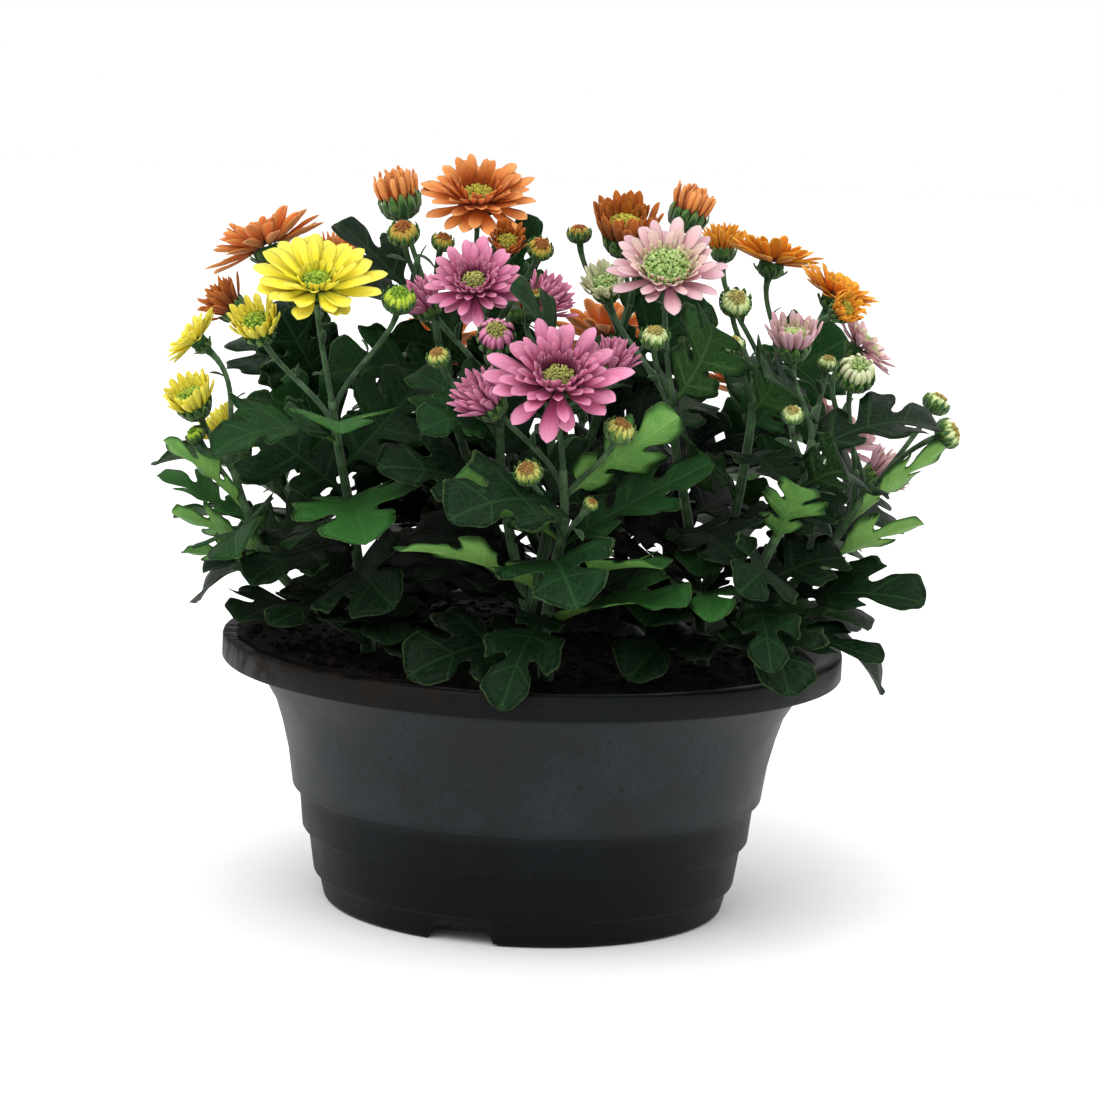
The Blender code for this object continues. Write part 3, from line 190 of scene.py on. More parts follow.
# Large leaves in view: shoot, height on it, tip, direction of the upper face, width and bend along the leaf.
PLACED_LEAVES = (
    ("pa", 149, (-30, -106, 170), (0.1, 0.8, 0.5), 28, 18),
    ("pa", 164, (46, -100, 194), (0.2, 0.8, 0.5), 24, 18),
    ("pa", 131, (43, -114, 145), (0.0, 0.2, 0.9), 30, 25),
    ("pa", 128, (-46, -116, 148), (0.1, 0.5, 0.8), 24, 25),
    ("pa", 116, (52, -112, 131), (0.0, -0.2, 0.9), 34, 35),
    ("wa", 119, (60, -112, 128), (0.0, -0.3, 0.9), 26, 35),
    ("pa", 146, (60, -82, 177), (-0.2, -0.6, 0.7), 26, 15),
    ("wb", 147, (91, -78, 170), (0.0, 0.9, 0.3), 24, 10),
    ("wd", 118, (138, -60, 128), (0.0, -0.5, 0.9), 32, 35),
    ("wd", 130, (138, -40, 150), (0.1, 0.6, 0.8), 18, 20),
    ("wd", 150, (146, -30, 180), (-0.3, 0.6, 0.6), 16, 15),
    ("wb", 129, (82, -106, 108), (0.1, -0.8, 0.6), 22, 45),
    ("wb", 112, (124, -68, 107), (0.0, -0.4, 0.9), 18, 30),
    ("pa", 120, (-4, -124, 95), (0.0, -0.7, 0.7), 26, 75),
    ("yb", 127, (-126, -52, 134), (0.0, 0.6, 0.8), 16, 20),
    ("yb", 130, (-133, -28, 144), (0.2, 0.6, 0.8), 18, 20),
    ("yb", 148, (-135, -44, 172), (0.4, 0.5, 0.7), 18, 20),
    ("yb", 142, (-138, -30, 158), (0.2, -0.4, 0.9), 20, 25),
    ("ya", 147, (-86, -78, 141), (0.1, 0.5, 0.8), 18, 25),
    ("ya", 112, (-92, -88, 114), (0.1, -0.5, 0.8), 22, 40),
    ("ya", 180, (-68, -98, 184), (0.0, -0.3, 0.9), 36, 40),
    ("ya", 154, (-58, -104, 146), (0.0, -0.8, 0.6), 44, 50),
    ("bb", 214, (-79, 24, 249), (0.3, -0.6, 0.6), 24, 15),
    ("ba", 208, (-6, 26, 254), (-0.2, -0.8, 0.4), 20, 15),
    ("pa", 110, (-42, -104, 103), (0.0, -0.6, 0.7), 34, 45),
    ("ya", 107, (-40, -90, 106), (0.0, -0.6, 0.7), 34, 40),
    ("wa", 107, (34, -98, 104), (0.0, -0.6, 0.7), 34, 45),
    ("yb", 113, (-104, -66, 111), (-0.4, -0.6, 0.7), 32, 40),
    ("wd", 116, (118, -44, 113), (0.4, -0.6, 0.7), 32, 40),
    ("bb", 192, (-78, -10, 196), (-0.3, -0.8, 0.6), 36, 40),
    ("bb", 170, (-26, -28, 180), (0.0, -0.8, 0.6), 36, 45),
    ("bd", 180, (62, 0, 192), (0.2, -0.8, 0.6), 36, 40),
    ("bd", 140, (14, -18, 150), (0.0, -0.8, 0.6), 36, 45),
    ("wc", 175, (100, -76, 168), (0.2, -0.8, 0.5), 34, 40),
    ("yc", 118, (-122, -14, 122), (-0.7, -0.3, 0.6), 34, 45),
    ("yc", 130, (-136, 10, 136), (-0.7, 0.0, 0.6), 34, 45),
    ("bc", 132, (-72, 2, 140), (-0.7, -0.3, 0.6), 34, 45),
    ("bc", 122, (-74, 88, 118), (-0.4, 0.6, 0.7), 34, 45),
    ("we", 122, (124, -2, 124), (0.7, 0.0, 0.7), 34, 45),
    ("be", 155, (104, 62, 150), (0.6, 0.3, 0.7), 34, 45),
    ("bd", 108, (-46, 2, 116), (0.0, -0.5, 0.8), 36, 35),
    ("bd", 106, (40, 0, 113), (0.0, -0.5, 0.8), 36, 35),
    ("bd", 116, (-14, -22, 128), (0.0, -0.6, 0.8), 36, 35),
    ("bd", 128, (46, 8, 148), (0.2, -0.7, 0.7), 34, 35),
    ("wa", 136, (30, -62, 150), (-0.1, -0.7, 0.7), 32, 35),
    ("ya", 124, (-14, -44, 126), (0.1, -0.6, 0.8), 34, 35),
    ("ya", 105, (-26, -66, 112), (0.0, -0.6, 0.8), 30, 35),
    ("ya", 109, (-62, -98, 106), (0.0, -0.6, 0.7), 32, 40),
    ("ya", 118, (-30, -72, 118), (0.2, -0.6, 0.7), 32, 35),
    ("ya", 136, (-100, -74, 128), (-0.3, -0.6, 0.7), 30, 40),
    ("pa", 106, (-22, -108, 103), (-0.1, -0.6, 0.7), 30, 40),
    ("wa", 128, (24, -86, 134), (-0.2, -0.6, 0.7), 34, 40),
    ("wa", 148, (70, -86, 142), (0.1, -0.7, 0.6), 34, 40),
    ("bc", 146, (-60, 18, 182), (-0.1, -0.8, 0.5), 42, 30),
    ("bc", 158, (-104, 30, 182), (-0.3, -0.8, 0.5), 42, 30),
    ("bc", 186, (-118, 32, 208), (-0.3, -0.8, 0.5), 38, 30),
    ("ya", 156, (-108, -36, 184), (-0.3, -0.8, 0.5), 38, 30),
    ("ya", 166, (-44, -34, 196), (0.2, -0.8, 0.5), 38, 30),
    ("be", 152, (56, 16, 184), (0.1, -0.8, 0.5), 42, 30),
    ("be", 166, (108, 28, 188), (0.3, -0.8, 0.5), 42, 30),
    ("be", 190, (114, 36, 212), (0.3, -0.8, 0.5), 36, 30),
    ("bd", 198, (60, 12, 224), (0.2, -0.8, 0.5), 38, 30),
    ("ba", 186, (-8, 4, 216), (0.1, -0.8, 0.5), 36, 30),
    ("wb", 150, (118, -44, 186), (0.2, -0.8, 0.5), 34, 30),
    ("wc", 184, (92, -34, 206), (0.2, -0.8, 0.5), 32, 30),
    ("bc", 178, (-98, 26, 214), (-0.1, -0.8, 0.5), 34, 30),
    ("ya", 162, (-58, -30, 204), (0.1, -0.8, 0.5), 30, 30),
    ("be", 136, (60, 12, 150), (0.0, -0.8, 0.5), 40, 30),
)

# Turn, lift in degrees and length factor that are tried in turn until a leaf is clear of its neighbours.
LEAF_TRIALS = (
    (0, 0, 1.0), (14, 0, 1.0), (-14, 0, 1.0), (0, 14, 1.0), (0, -14, 1.0), (24, 10, 0.92), (-24, 10, 0.92),
    (24, -12, 0.92), (-24, -12, 0.92), (0, 26, 0.86), (0, -26, 0.86), (36, 0, 0.8), (-36, 0, 0.8),
    (0, 0, 0.7), (18, 22, 0.7), (-18, 22, 0.7), (30, -22, 0.66), (-30, -22, 0.66), (0, 34, 0.55), (0, 0, 0.5),
)

# Largest distance in millimetres between a leaf's tip and a corner of the plant's solid.
TIP_MATCH = 0.06

# Numbers of the placed leaves that stand in the light: their tone is painted brighter, as painted light.
LIT_LEAVES = (0, 1, 2, 3, 4, 5, 7, 9, 10, 14, 15, 16, 17, 20, 21)

# Petal colour of a head by the first letter of its name, and the heads that differ.
ODD_COLOURS = {"w2": "cream", "w8": "cream", "b10": "rust", "b7": "rust", "b5": "rust"}
HEAD_COLOURS = {"b": "bronze", "a": "amber", "k": "bronze", "y": "yellow", "p": "pink", "w": "pale"}


def head_colour(name):
    """Name of a head's petal colour."""
    return ODD_COLOURS.get(name, HEAD_COLOURS[name[0]])


# Where things grow


def unit(vectors):
    """Vectors scaled to length one."""
    vectors = np.asarray(vectors, float)
    return vectors / np.linalg.norm(vectors, axis=-1, keepdims=True)


def level(angle):
    """Level vectors of length one that point at these angles: cosine, sine and nought."""
    return np.stack((np.cos(angle), np.sin(angle), 0.0 * angle), axis=-1)


def shoot_path(name):
    """Corner points of a shoot, from inside the stem that it grows from to its top."""
    plant, parent, height, way = SHOOTS[name]
    if parent is None:
        start = (*FEET[plant], FOOT_STEM_TOP - 4.0)
    else:
        start, _ = along(shoot_path(parent), height)
    return np.array([start, *way], float)


def along(path, height):
    """Point of a path at this height, and the path's direction there."""
    leg = int(np.clip(np.searchsorted(path[1:, 2], height), 0, len(path) - 2))
    low, high = path[leg], path[leg + 1]
    share = min(1.0, (height - low[2]) / (high[2] - low[2]))
    return low + (high - low) * share, unit(high - low)


def head_base(name):
    """Point on a head's axis where its green cup ends and the petals sit, and the axis."""
    kind, _, _, middle, facing, size = HEADS[name]
    drop = {"open": 3.2, "back": 3.2, "half": 0.42 * size, "bud": 0.08 * size, "closed": 0.0}[kind]
    facing = unit(facing)
    return np.array(middle, float) - facing * drop, facing


def spiral_trials(shoot, order):
    """Trials for every leaf up a shoot: each a golden turn on from the last, most of them facing outward."""
    path = shoot_path(shoot)
    height = max(LEAF_START, path[0][2] + LEAF_MARGIN) + LEAF_STAGGER * (order % 5)
    number = 0
    while height < path[-1][2] - LEAF_MARGIN:
        base, way = along(path, height)
        share = (height - LEAF_START) / LEAF_ZONE
        outward = math.atan2(base[1], base[0])
        away = (GOLDEN_TURN * number + order * 2.1 - outward + math.pi) % math.tau - math.pi
        length = (LEAF_LENGTH - LEAF_SHORTER * share) * (1.0 - INWARD_SHORTER * abs(away) / math.pi)
        wave = LEAF_WAVE * math.sin(2.4 * number + order)
        roll = LEAF_ROLL * math.sin(1.9 * number + 1.7 * order)
        radial = unit((base[0], base[1], 0.0))
        turn, lift, factor = np.array(LEAF_TRIALS).T
        heading = outward + away * LEAF_SPREAD + np.radians(turn)
        rise = np.radians(LEAF_RISE + LEAF_RISE_MORE * share + wave + lift)[:, None]
        flat = level(heading)
        across = np.stack((-flat[:, 1], flat[:, 0], 0.0 * heading), axis=1)
        reach = flat * np.cos(rise) + (0.0, 0.0, 1.0) * np.sin(rise)
        upper = (0.0, 0.0, 1.0) * np.cos(rise) - flat * np.sin(rise) + across * roll + radial * LEAF_OUTWARD
        run = length * factor
        yield base, base + reach * run[:, None], upper, run * LEAF_WIDTH_SHARE, LEAF_BEND
        height += LEAF_STEP * max(LEAST_STEP, way[2])
        number += 1


def placed_trials(shoot, height, tip, upper, width, bend):
    """Trials for a large leaf in view, which moves less than the others."""
    base, _ = along(shoot_path(shoot), height)
    turn, lift, factor = np.array(LEAF_TRIALS).T
    angle = np.radians(turn * PLACED_TURN)
    ahead = (np.array(tip, float) - base) * factor[:, None]
    x = ahead[:, 0] * np.cos(angle) - ahead[:, 1] * np.sin(angle)
    y = ahead[:, 0] * np.sin(angle) + ahead[:, 1] * np.cos(angle)
    tips = base + np.stack((x, y, ahead[:, 2] + lift * PLACED_LIFT), axis=1)
    return base, tips, np.tile(upper, (len(turn), 1)), width * (0.5 + 0.5 * factor), bend


def plant_leaves():
    """Leaves of each plant as base, tip, upper direction, width, bend, and whether they stand in the light.

    Of each leaf's trials, the one whose tip is a corner of the plant's solid is taken. A leaf that has none
    isn't in the solid, and is left out here too.
    """
    corners = {plant: np.empty(len(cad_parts["plant_" + plant].data.vertices) * 3) for plant in FEET}
    for plant, places in corners.items():
        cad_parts["plant_" + plant].data.vertices.foreach_get("co", places)
    leaves = {plant: [] for plant in FEET}
    wanted = [(SHOOTS[row[0]][0], placed_trials(*row), number in LIT_LEAVES)
              for number, row in enumerate(PLACED_LEAVES)]
    for order, (shoot, row) in enumerate(SHOOTS.items()):
        wanted += [(row[0], trials, False) for trials in spiral_trials(shoot, order)]
    for plant, (base, tips, uppers, widths, bend), lit in wanted:
        places = corners[plant].reshape(-1, 3) / MM
        off = np.linalg.norm(places[None] - tips[:, None], axis=2).min(axis=1)
        if off.min() < TIP_MATCH:
            k = int(off.argmin())
            leaves[plant].append((base, tips[k], uppers[k], widths[k], bend, lit))
    return leaves


# Shapes


class Shape:
    """Points, faces of four and of three corners, and marks: numbers at each point that materials read."""

    def __init__(self, points, quads, tris=(), **marks):
        grid = np.shape(points)[:-1]
        self.points = np.asarray(points, float).reshape(-1, 3)
        self.quads = np.asarray(quads, int).reshape(-1, 4)
        self.tris = np.asarray(tris, int).reshape(-1, 3)
        self.marks = {key: np.broadcast_to(value, grid).astype(float).ravel() for key, value in marks.items()}

    def placed(self, frame_matrix):
        """The same shape with its own axes turned and moved by a matrix."""
        turn = np.array(frame_matrix)
        points = self.points @ turn[:3, :3].T + turn[:3, 3]
        return Shape(points, self.quads, self.tris, **self.marks)


def join(shapes):
    """Several shapes as one, with a mark that one of them lacks set to zero there."""
    names = sorted({name for shape in shapes for name in shape.marks})
    starts = np.cumsum([0] + [len(shape.points) for shape in shapes[:-1]])
    marks = {
        name: np.concatenate([shape.marks.get(name, np.zeros(len(shape.points))) for shape in shapes])
        for name in names
    }
    return Shape(
        np.concatenate([shape.points for shape in shapes]),
        np.concatenate([shape.quads + start for shape, start in zip(shapes, starts)]),
        np.concatenate([shape.tris + start for shape, start in zip(shapes, starts)]),
        **marks,
    )


def tube_faces(count, rows, ring, lens=False):
    """Faces of several closed tubes whose points run by tube, row and place round the ring.

    The sides are quads between neighbouring rows. A lens-shaped ring is closed by quads between its two
    faces, and a round one by a fan from its first corner.
    """
    i, j = np.meshgrid(np.arange(rows - 1), np.arange(ring), indexing="ij")
    k = (j + 1) % ring
    sides = np.stack((i * ring + j, i * ring + k, (i + 1) * ring + k, (i + 1) * ring + j), axis=-1)
    if lens:
        half = ring // 2
        a = np.arange(1, half - 1)
        first_quads = np.stack((ring - a, ring - a - 1, a + 1, a), axis=1)
        first_tris = np.array(((0, ring - 1, 1), (half, half - 1, half + 1)))
    else:
        first_quads = np.empty((0, 4), int)
        a = np.arange(1, ring - 1)
        first_tris = np.stack((0 * a, a + 1, a), axis=1)
    last = (rows - 1) * ring
    quads = np.concatenate((sides.reshape(-1, 4), first_quads, first_quads[:, ::-1] + last))
    tris = np.concatenate((first_tris, first_tris[:, ::-1] + last))
    steps = np.arange(count)[:, None, None] * rows * ring
    return (quads[None] + steps).reshape(-1, 4), (tris[None] + steps).reshape(-1, 3)


def lens_ring(columns):
    """Places across a blade from -1 to 1 over the top and back under it, and 1 or -1 for top or underside."""
    top = np.linspace(-1.0, 1.0, columns)
    across = np.concatenate((top, top[-2:0:-1]))
    face = np.concatenate((np.ones(columns), -np.ones(columns - 2)))
    return across, face


def column(values):
    """One value for each blade, shaped to meet arrays by blade, row and ring."""
    return np.asarray(values, float).reshape(-1, 1, 1)


# A blade that bends less than this is bent by it, so that its arc has a radius.
LEAST_BEND = 1e-3


def blades(root, out, up, length, width, lift, outline, cup, thick, tone, layer, columns=5, wave=0.0):
    """Petals and bracts: closed blades with a lens-shaped section.

    The middle line leaves the root in the direction out, raised towards up by the first lift, and bends
    evenly to the second. The half width at a share of the length follows the outline. The section is cupped
    by the square of the place across it, and its sides are waved along the length.
    """
    share, half = (values.reshape(1, -1, 1) for values in np.array(outline, float).T)
    half = half * column(width) * 0.5
    across, face = lens_ring(columns)
    start, end = column(lift[0]), column(lift[1])
    bend = np.where(np.abs(end - start) < LEAST_BEND, LEAST_BEND, end - start)
    angle = start + bend * share
    run = column(length) * (np.sin(angle) - np.sin(start)) / bend
    rise = column(length) * (np.cos(start) - np.cos(angle)) / bend
    out, up, root = (np.asarray(v, float)[:, None, None, :] for v in (out, up, root))
    side = np.cross(out, up)
    phase = 7.0 * share + 9.0 * column(tone)
    flap = half * (column(cup) * across ** 2 + wave * np.sin(phase) * across)
    off = flap + face * thick * 0.5 * (1.0 - across ** 2)
    normal = up * np.cos(angle)[..., None] - out * np.sin(angle)[..., None]
    points = root + out * run[..., None] + up * rise[..., None] + normal * off[..., None]
    points = points + side * (half * across)[..., None]
    quads, tris = tube_faces(*points.shape[:3], lens=True)
    return Shape(points, quads, tris, share=share, across=across, under=face < 0, tone=column(tone),
                 layer=layer)


def smooth_line(path, rows):
    """Evenly spaced rows along a smooth line through the path's points.

    Each leg is a cubic whose ends lean along the line between the neighbours.
    """
    path = np.asarray(path, float)
    lean = np.gradient(path, axis=0)
    t = np.linspace(0.0, len(path) - 1.0, rows)
    leg = np.minimum(t.astype(int), len(path) - 2)
    t = (t - leg)[:, None]
    a, b, u, v = path[leg], path[leg + 1], lean[leg], lean[leg + 1]
    return (
        a * (2 * t ** 3 - 3 * t ** 2 + 1) + u * (t ** 3 - 2 * t ** 2 + t)
        + b * (3 * t ** 2 - 2 * t ** 3) + v * (t ** 3 - t ** 2)
    )


STEM_CORNERS = 10
STEM_RIBS = 5
RIB_DEPTH = 0.07


def tubes(lines, radii):
    """Ribbed round stems: rings carried along lines given by stem and row, with a radius for each row.

    The ribs are a cosine of the angle round the ring, added to the radius.
    """
    lines = np.asarray(lines, float)
    radii = np.broadcast_to(radii, lines.shape[:2])[..., None, None]
    tangent = unit(np.gradient(lines, axis=1))
    reference = np.array((0.0, 1.0, 0.0))
    side = unit(reference - tangent * (tangent @ reference)[..., None])
    other = np.cross(tangent, side)
    angle = np.arange(STEM_CORNERS) * math.tau / STEM_CORNERS
    rib = np.cos(STEM_RIBS * angle)
    reach = radii * (1.0 + RIB_DEPTH * rib)[:, None]
    spoke = side[:, :, None] * np.cos(angle)[:, None] + other[:, :, None] * np.sin(angle)[:, None]
    points = lines[:, :, None] + spoke * reach
    quads, tris = tube_faces(*points.shape[:3])
    share = np.linspace(0.0, 1.0, lines.shape[1])[:, None]
    return Shape(points, quads, tris, share=share, across=rib)


def turned(profile, columns, **marks):
    """Closed turned body: a profile of radius and height, carried round Z, with a point at each end."""
    profile = np.asarray(profile, float)
    angle = np.arange(columns) * math.tau / columns
    ring = np.stack((np.cos(angle), np.sin(angle)), axis=1)
    inner = profile[1:-1]
    heights = np.broadcast_to(inner[:, None, 1:], (len(inner), columns, 1))
    points = np.concatenate((inner[:, None, :1] * ring, heights), axis=2)
    points = np.concatenate((((0, 0, profile[0][1]),), points.reshape(-1, 3), ((0, 0, profile[-1][1]),)))
    i, j = np.meshgrid(np.arange(len(inner) - 1), np.arange(columns), indexing="ij")
    k = (j + 1) % columns
    low, high = 1 + i * columns, 1 + (i + 1) * columns
    quads = np.stack((low + j, low + k, high + k, high + j), axis=-1)
    j = np.arange(columns)
    k = (j + 1) % columns
    last = 1 + (len(inner) - 1) * columns
    low = np.stack((0 * j, 1 + k, 1 + j), axis=1)
    high = np.stack((last + j, last + k, 0 * j + len(points) - 1), axis=1)
    return Shape(points, quads, np.concatenate((low, high)), **marks)


# Heads

# Outline of a blade as share of its length and share of its width.
RAY = ((0.0, 0.3), (0.2, 0.5), (0.42, 0.8), (0.6, 0.97), (0.74, 1.0), (0.87, 0.84), (0.95, 0.54), (1.0, 0.08))
QUILL = ((0.0, 0.6), (0.35, 0.82), (0.7, 1.0), (0.88, 0.88), (0.965, 0.56), (1.0, 0.14))
BRACT = ((0.0, 0.4), (0.35, 0.9), (0.6, 1.0), (0.82, 0.7), (1.0, 0.12))
SCALE = ((0.0, 0.9), (0.4, 1.0), (0.75, 0.8), (1.0, 0.2))

# Rings of petals from the outside in: number, start radius, height, length and width as shares of the head's
# diameter, lift at the root and at the tip in degrees, cup, and 0 for an outer petal to 1 for an inner one.
OPEN_RINGS = {
    "pink": (
        (14, 0.10, 0.030, 0.405, 0.126, -4, 14, 0.30, 0.0), (13, 0.10, 0.045, 0.365, 0.110, 8, 27, 0.36, 0.1),
        (16, 0.105, 0.06, 0.290, 0.080, 22, 44, 0.50, 0.3), (18, 0.11, 0.07, 0.225, 0.062, 36, 62, 0.70, 0.5),
        (20, 0.115, 0.075, 0.165, 0.050, 50, 80, 0.8, 0.75), (22, 0.12, 0.08, 0.115, 0.040, 62, 94, 0.9, 1.0),
    ),
    "bronze": (
        (14, 0.10, 0.030, 0.405, 0.132, -4, 10, 0.30, 0.0), (14, 0.10, 0.045, 0.370, 0.118, 8, 24, 0.34, 0.1),
        (16, 0.10, 0.060, 0.325, 0.096, 22, 42, 0.45, 0.3), (18, 0.11, 0.065, 0.265, 0.070, 38, 60, 0.6, 0.6),
        (19, 0.12, 0.075, 0.170, 0.048, 54, 84, 0.80, 1.0),
    ),
    "amber": (
        (15, 0.10, 0.030, 0.405, 0.135, 2, 16, 0.28, 0.0), (15, 0.10, 0.045, 0.380, 0.122, 14, 28, 0.32, 0.1),
        (15, 0.10, 0.060, 0.310, 0.105, 28, 44, 0.38, 0.3), (14, 0.11, 0.065, 0.220, 0.080, 44, 64, 0.5, 0.6),
        (15, 0.11, 0.070, 0.150, 0.052, 56, 86, 0.80, 1.0),
    ),
    "yellow": (
        (14, 0.10, 0.030, 0.430, 0.162, 4, 20, 0.30, 0.0), (13, 0.10, 0.045, 0.405, 0.150, 17, 34, 0.38, 0.1),
        (12, 0.10, 0.06, 0.290, 0.105, 34, 54, 0.50, 0.4), (14, 0.105, 0.07, 0.120, 0.052, 50, 82, 0.7, 0.9),
    ),
    "pale": (
        (14, 0.12, 0.030, 0.385, 0.124, 4, 20, 0.34, 0.0), (13, 0.12, 0.045, 0.345, 0.112, 18, 36, 0.40, 0.1),
        (13, 0.16, 0.060, 0.230, 0.095, 32, 52, 0.50, 0.3), (24, 0.19, 0.07, 0.105, 0.042, 46, 74, 0.7, 0.75),
        (24, 0.165, 0.085, 0.080, 0.034, 58, 92, 0.80, 1.0),
    ),
}
TUFT_RINGS = (
    (13, 0.20, 0.00, 0.60, 0.155, 38, 62, 0.55, 0.0), (13, 0.18, 0.02, 0.62, 0.140, 48, 68, 0.60, 0.1),
    (13, 0.15, 0.04, 0.64, 0.125, 58, 75, 0.65, 0.25), (11, 0.11, 0.06, 0.64, 0.115, 67, 82, 0.70, 0.4),
    (8, 0.06, 0.08, 0.60, 0.105, 76, 90, 0.70, 0.6),
)
CUP_RINGS = (
    (17, 0.22, 0.00, 0.56, 0.150, 40, 82, 0.50, 0.0), (16, 0.22, 0.03, 0.49, 0.130, 48, 86, 0.55, 0.15),
    (18, 0.22, 0.07, 0.36, 0.098, 54, 92, 0.60, 0.4), (20, 0.22, 0.12, 0.20, 0.065, 58, 96, 0.70, 0.8),
)
BRUSH_RINGS = (
    (14, 0.37, -0.04, 0.58, 0.165, 54, 98, 0.50, 0.0), (13, 0.32, 0.00, 0.63, 0.145, 64, 104, 0.60, 0.3),
    (11, 0.22, 0.04, 0.62, 0.150, 74, 106, 0.70, 0.6), (7, 0.10, 0.08, 0.58, 0.130, 80, 98, 0.70, 0.9),
)
FOLDED_RINGS = (
    (17, 0.38, -0.04, 0.50, 0.165, 56, 168, 0.55, 0.0), (17, 0.36, 0.03, 0.40, 0.135, 66, 174, 0.60, 0.35),
    (16, 0.32, 0.10, 0.27, 0.105, 70, 178, 0.70, 0.8),
)
CLOSED_RINGS = (
    (14, 0.40, -0.20, 0.44, 0.195, 68, 166, 0.45, 0.0), (13, 0.37, -0.12, 0.38, 0.160, 70, 172, 0.50, 0.6),
)

# Half-open heads whose petals open like a cup, and large buds whose petals are folded in.
CUP_HEADS = ("y2", "y4", "w2", "w3", "b10", "b7", "a17", "yk2")
FOLDED_HEADS = ("p5", "w8")

# Rings, outline and thickness of the petals by habit, and radius, foot and top of the dome that they stand
# round: shares of the head's diameter, but for the foot in millimetres.
HABITS = {
    "cup": (CUP_RINGS, RAY, 0.35, (0.23, 0.0, 0.17)),
    "tuft": (TUFT_RINGS, RAY, 0.35, (0.22, 0.0, 0.2)),
    "folded": (FOLDED_RINGS, QUILL, 0.4, (0.36, -0.02, 0.28)),
    "brush": (BRUSH_RINGS, QUILL, 0.4, (0.34, -0.02, 0.3)),
    "closed": (CLOSED_RINGS, QUILL, 0.4, None),
}
# Thickness of an open head's petals.
RAY_THICK = 0.32

# Florets in the middle of a head, by colour when it is open and by habit otherwise: radius, height of their
# foot and of their dome as shares of the diameter.
EYES = {
    "pink": (0.098, 0.01, 0.03), "bronze": (0.112, 0.01, 0.03), "amber": (0.108, 0.01, 0.03),
    "yellow": (0.096, 0.01, 0.025), "pale": (0.178, 0.012, 0.05),
    "cup": (0.225, 0.19, 0.07), "folded": (0.23, 0.26, 0.05), "closed": (0.22, 0.12, 0.05),
}
# Height of the hub under an open head's florets, how far the dome under florets starts below them, in
# millimetres or as share of the diameter, and how many florets there are for each millimetre of radius.
HUB_HEIGHT = 2.8
EYE_SUNK = 0.3
EYE_SUNK_SHARE = 0.04
FLORETS_PER_MM = 22
FLORET_COUNTS = (24, 140)

# Rows of a floret from its foot to inside its mouth: height and width as shares, and place for its colour.
# The row inside the mouth takes a colour near the foot's: painted shade in the tube.
FLORET_ROWS = ((-0.3, 0.75, 0.0), (0.5, 0.85, 0.5), (1.0, 1.25, 1.0), (0.7, 0.45, 0.1))
FLORET_CORNERS = 5
FLORET_WIDE = 0.78
FLORET_TALL = 3.4
FLORET_HEIGHTS = (0.6, 1.3)
FLORET_SHIFT = 0.15
FLORET_UPRIGHT = 2.2
DOME_COLUMNS = 24

# Middle of a closed bud as shares of its diameter: half width, height of its middle and half height.
CORE = (0.42, -0.10, 0.24)
CORE_COLUMNS = 20

# How much petals of one ring differ: place round it as share of a step, lift in degrees, and size. Then the
# wave of their sides.
PETAL_SHIFT = 0.32
PETAL_TILT = 5.5
PETAL_BEND = 6.0
PETAL_LONG = (0.80, 1.05)
PETAL_WIDE = (0.80, 1.10)
PETAL_WAVE = 0.10


def habit(name):
    """How a head holds its petals: open, cup, tuft, folded, brush or closed."""
    if name in CUP_HEADS:
        return "cup"
    if name in FOLDED_HEADS:
        return "folded"
    habits = {"open": "open", "back": "open", "half": "tuft", "bud": "brush", "closed": "closed"}
    return habits[HEADS[name][0]]


def head_rng(name, seed):
    """Random numbers for one part of a head, the same each run."""
    return np.random.default_rng(SEED + seed + 31 * list(HEADS).index(name))


def ring_blades(rng, size, rows, outline, thick):
    """Rings of petals on a head in its own axes, each petal a little off the others in place, size and lift.

    A ring's petals stand an even step apart round a circle, and point away from the head's axis.
    """
    shapes = []
    for count, start, height, length, width, lift_root, lift_tip, cup, layer in rows:
        shift = rng.uniform(-PETAL_SHIFT, PETAL_SHIFT, count) + 0.5 * rng.random()
        out = level(math.tau * (np.arange(count) + shift) / count)
        up = np.tile((0.0, 0.0, 1.0), (count, 1))
        root = out * start * size + up * height * size
        tilt = rng.normal(0.0, PETAL_TILT, count)
        tip_tilt = tilt + rng.normal(0.0, PETAL_BEND, count)
        lift = np.radians(lift_root + tilt), np.radians(lift_tip + tip_tilt)
        long = size * length * rng.uniform(*PETAL_LONG, count)
        wide = size * width * rng.uniform(*PETAL_WIDE, count)
        tone = rng.random(count)
        shapes.append(blades(root, out, up, long, wide, lift, outline, cup, thick, tone, layer,
                             wave=PETAL_WAVE))
    return join(shapes)


def head_matrix(name):
    """Turn and place of a head: its axis along its facing, and turned about it by its place in the table."""
    base, facing = head_base(name)
    spin = Matrix.Rotation(1.7 * list(HEADS).index(name), 4, "Z")
    return Matrix.Translation(base) @ Vector(facing).to_track_quat("Z", "Y").to_matrix().to_4x4() @ spin


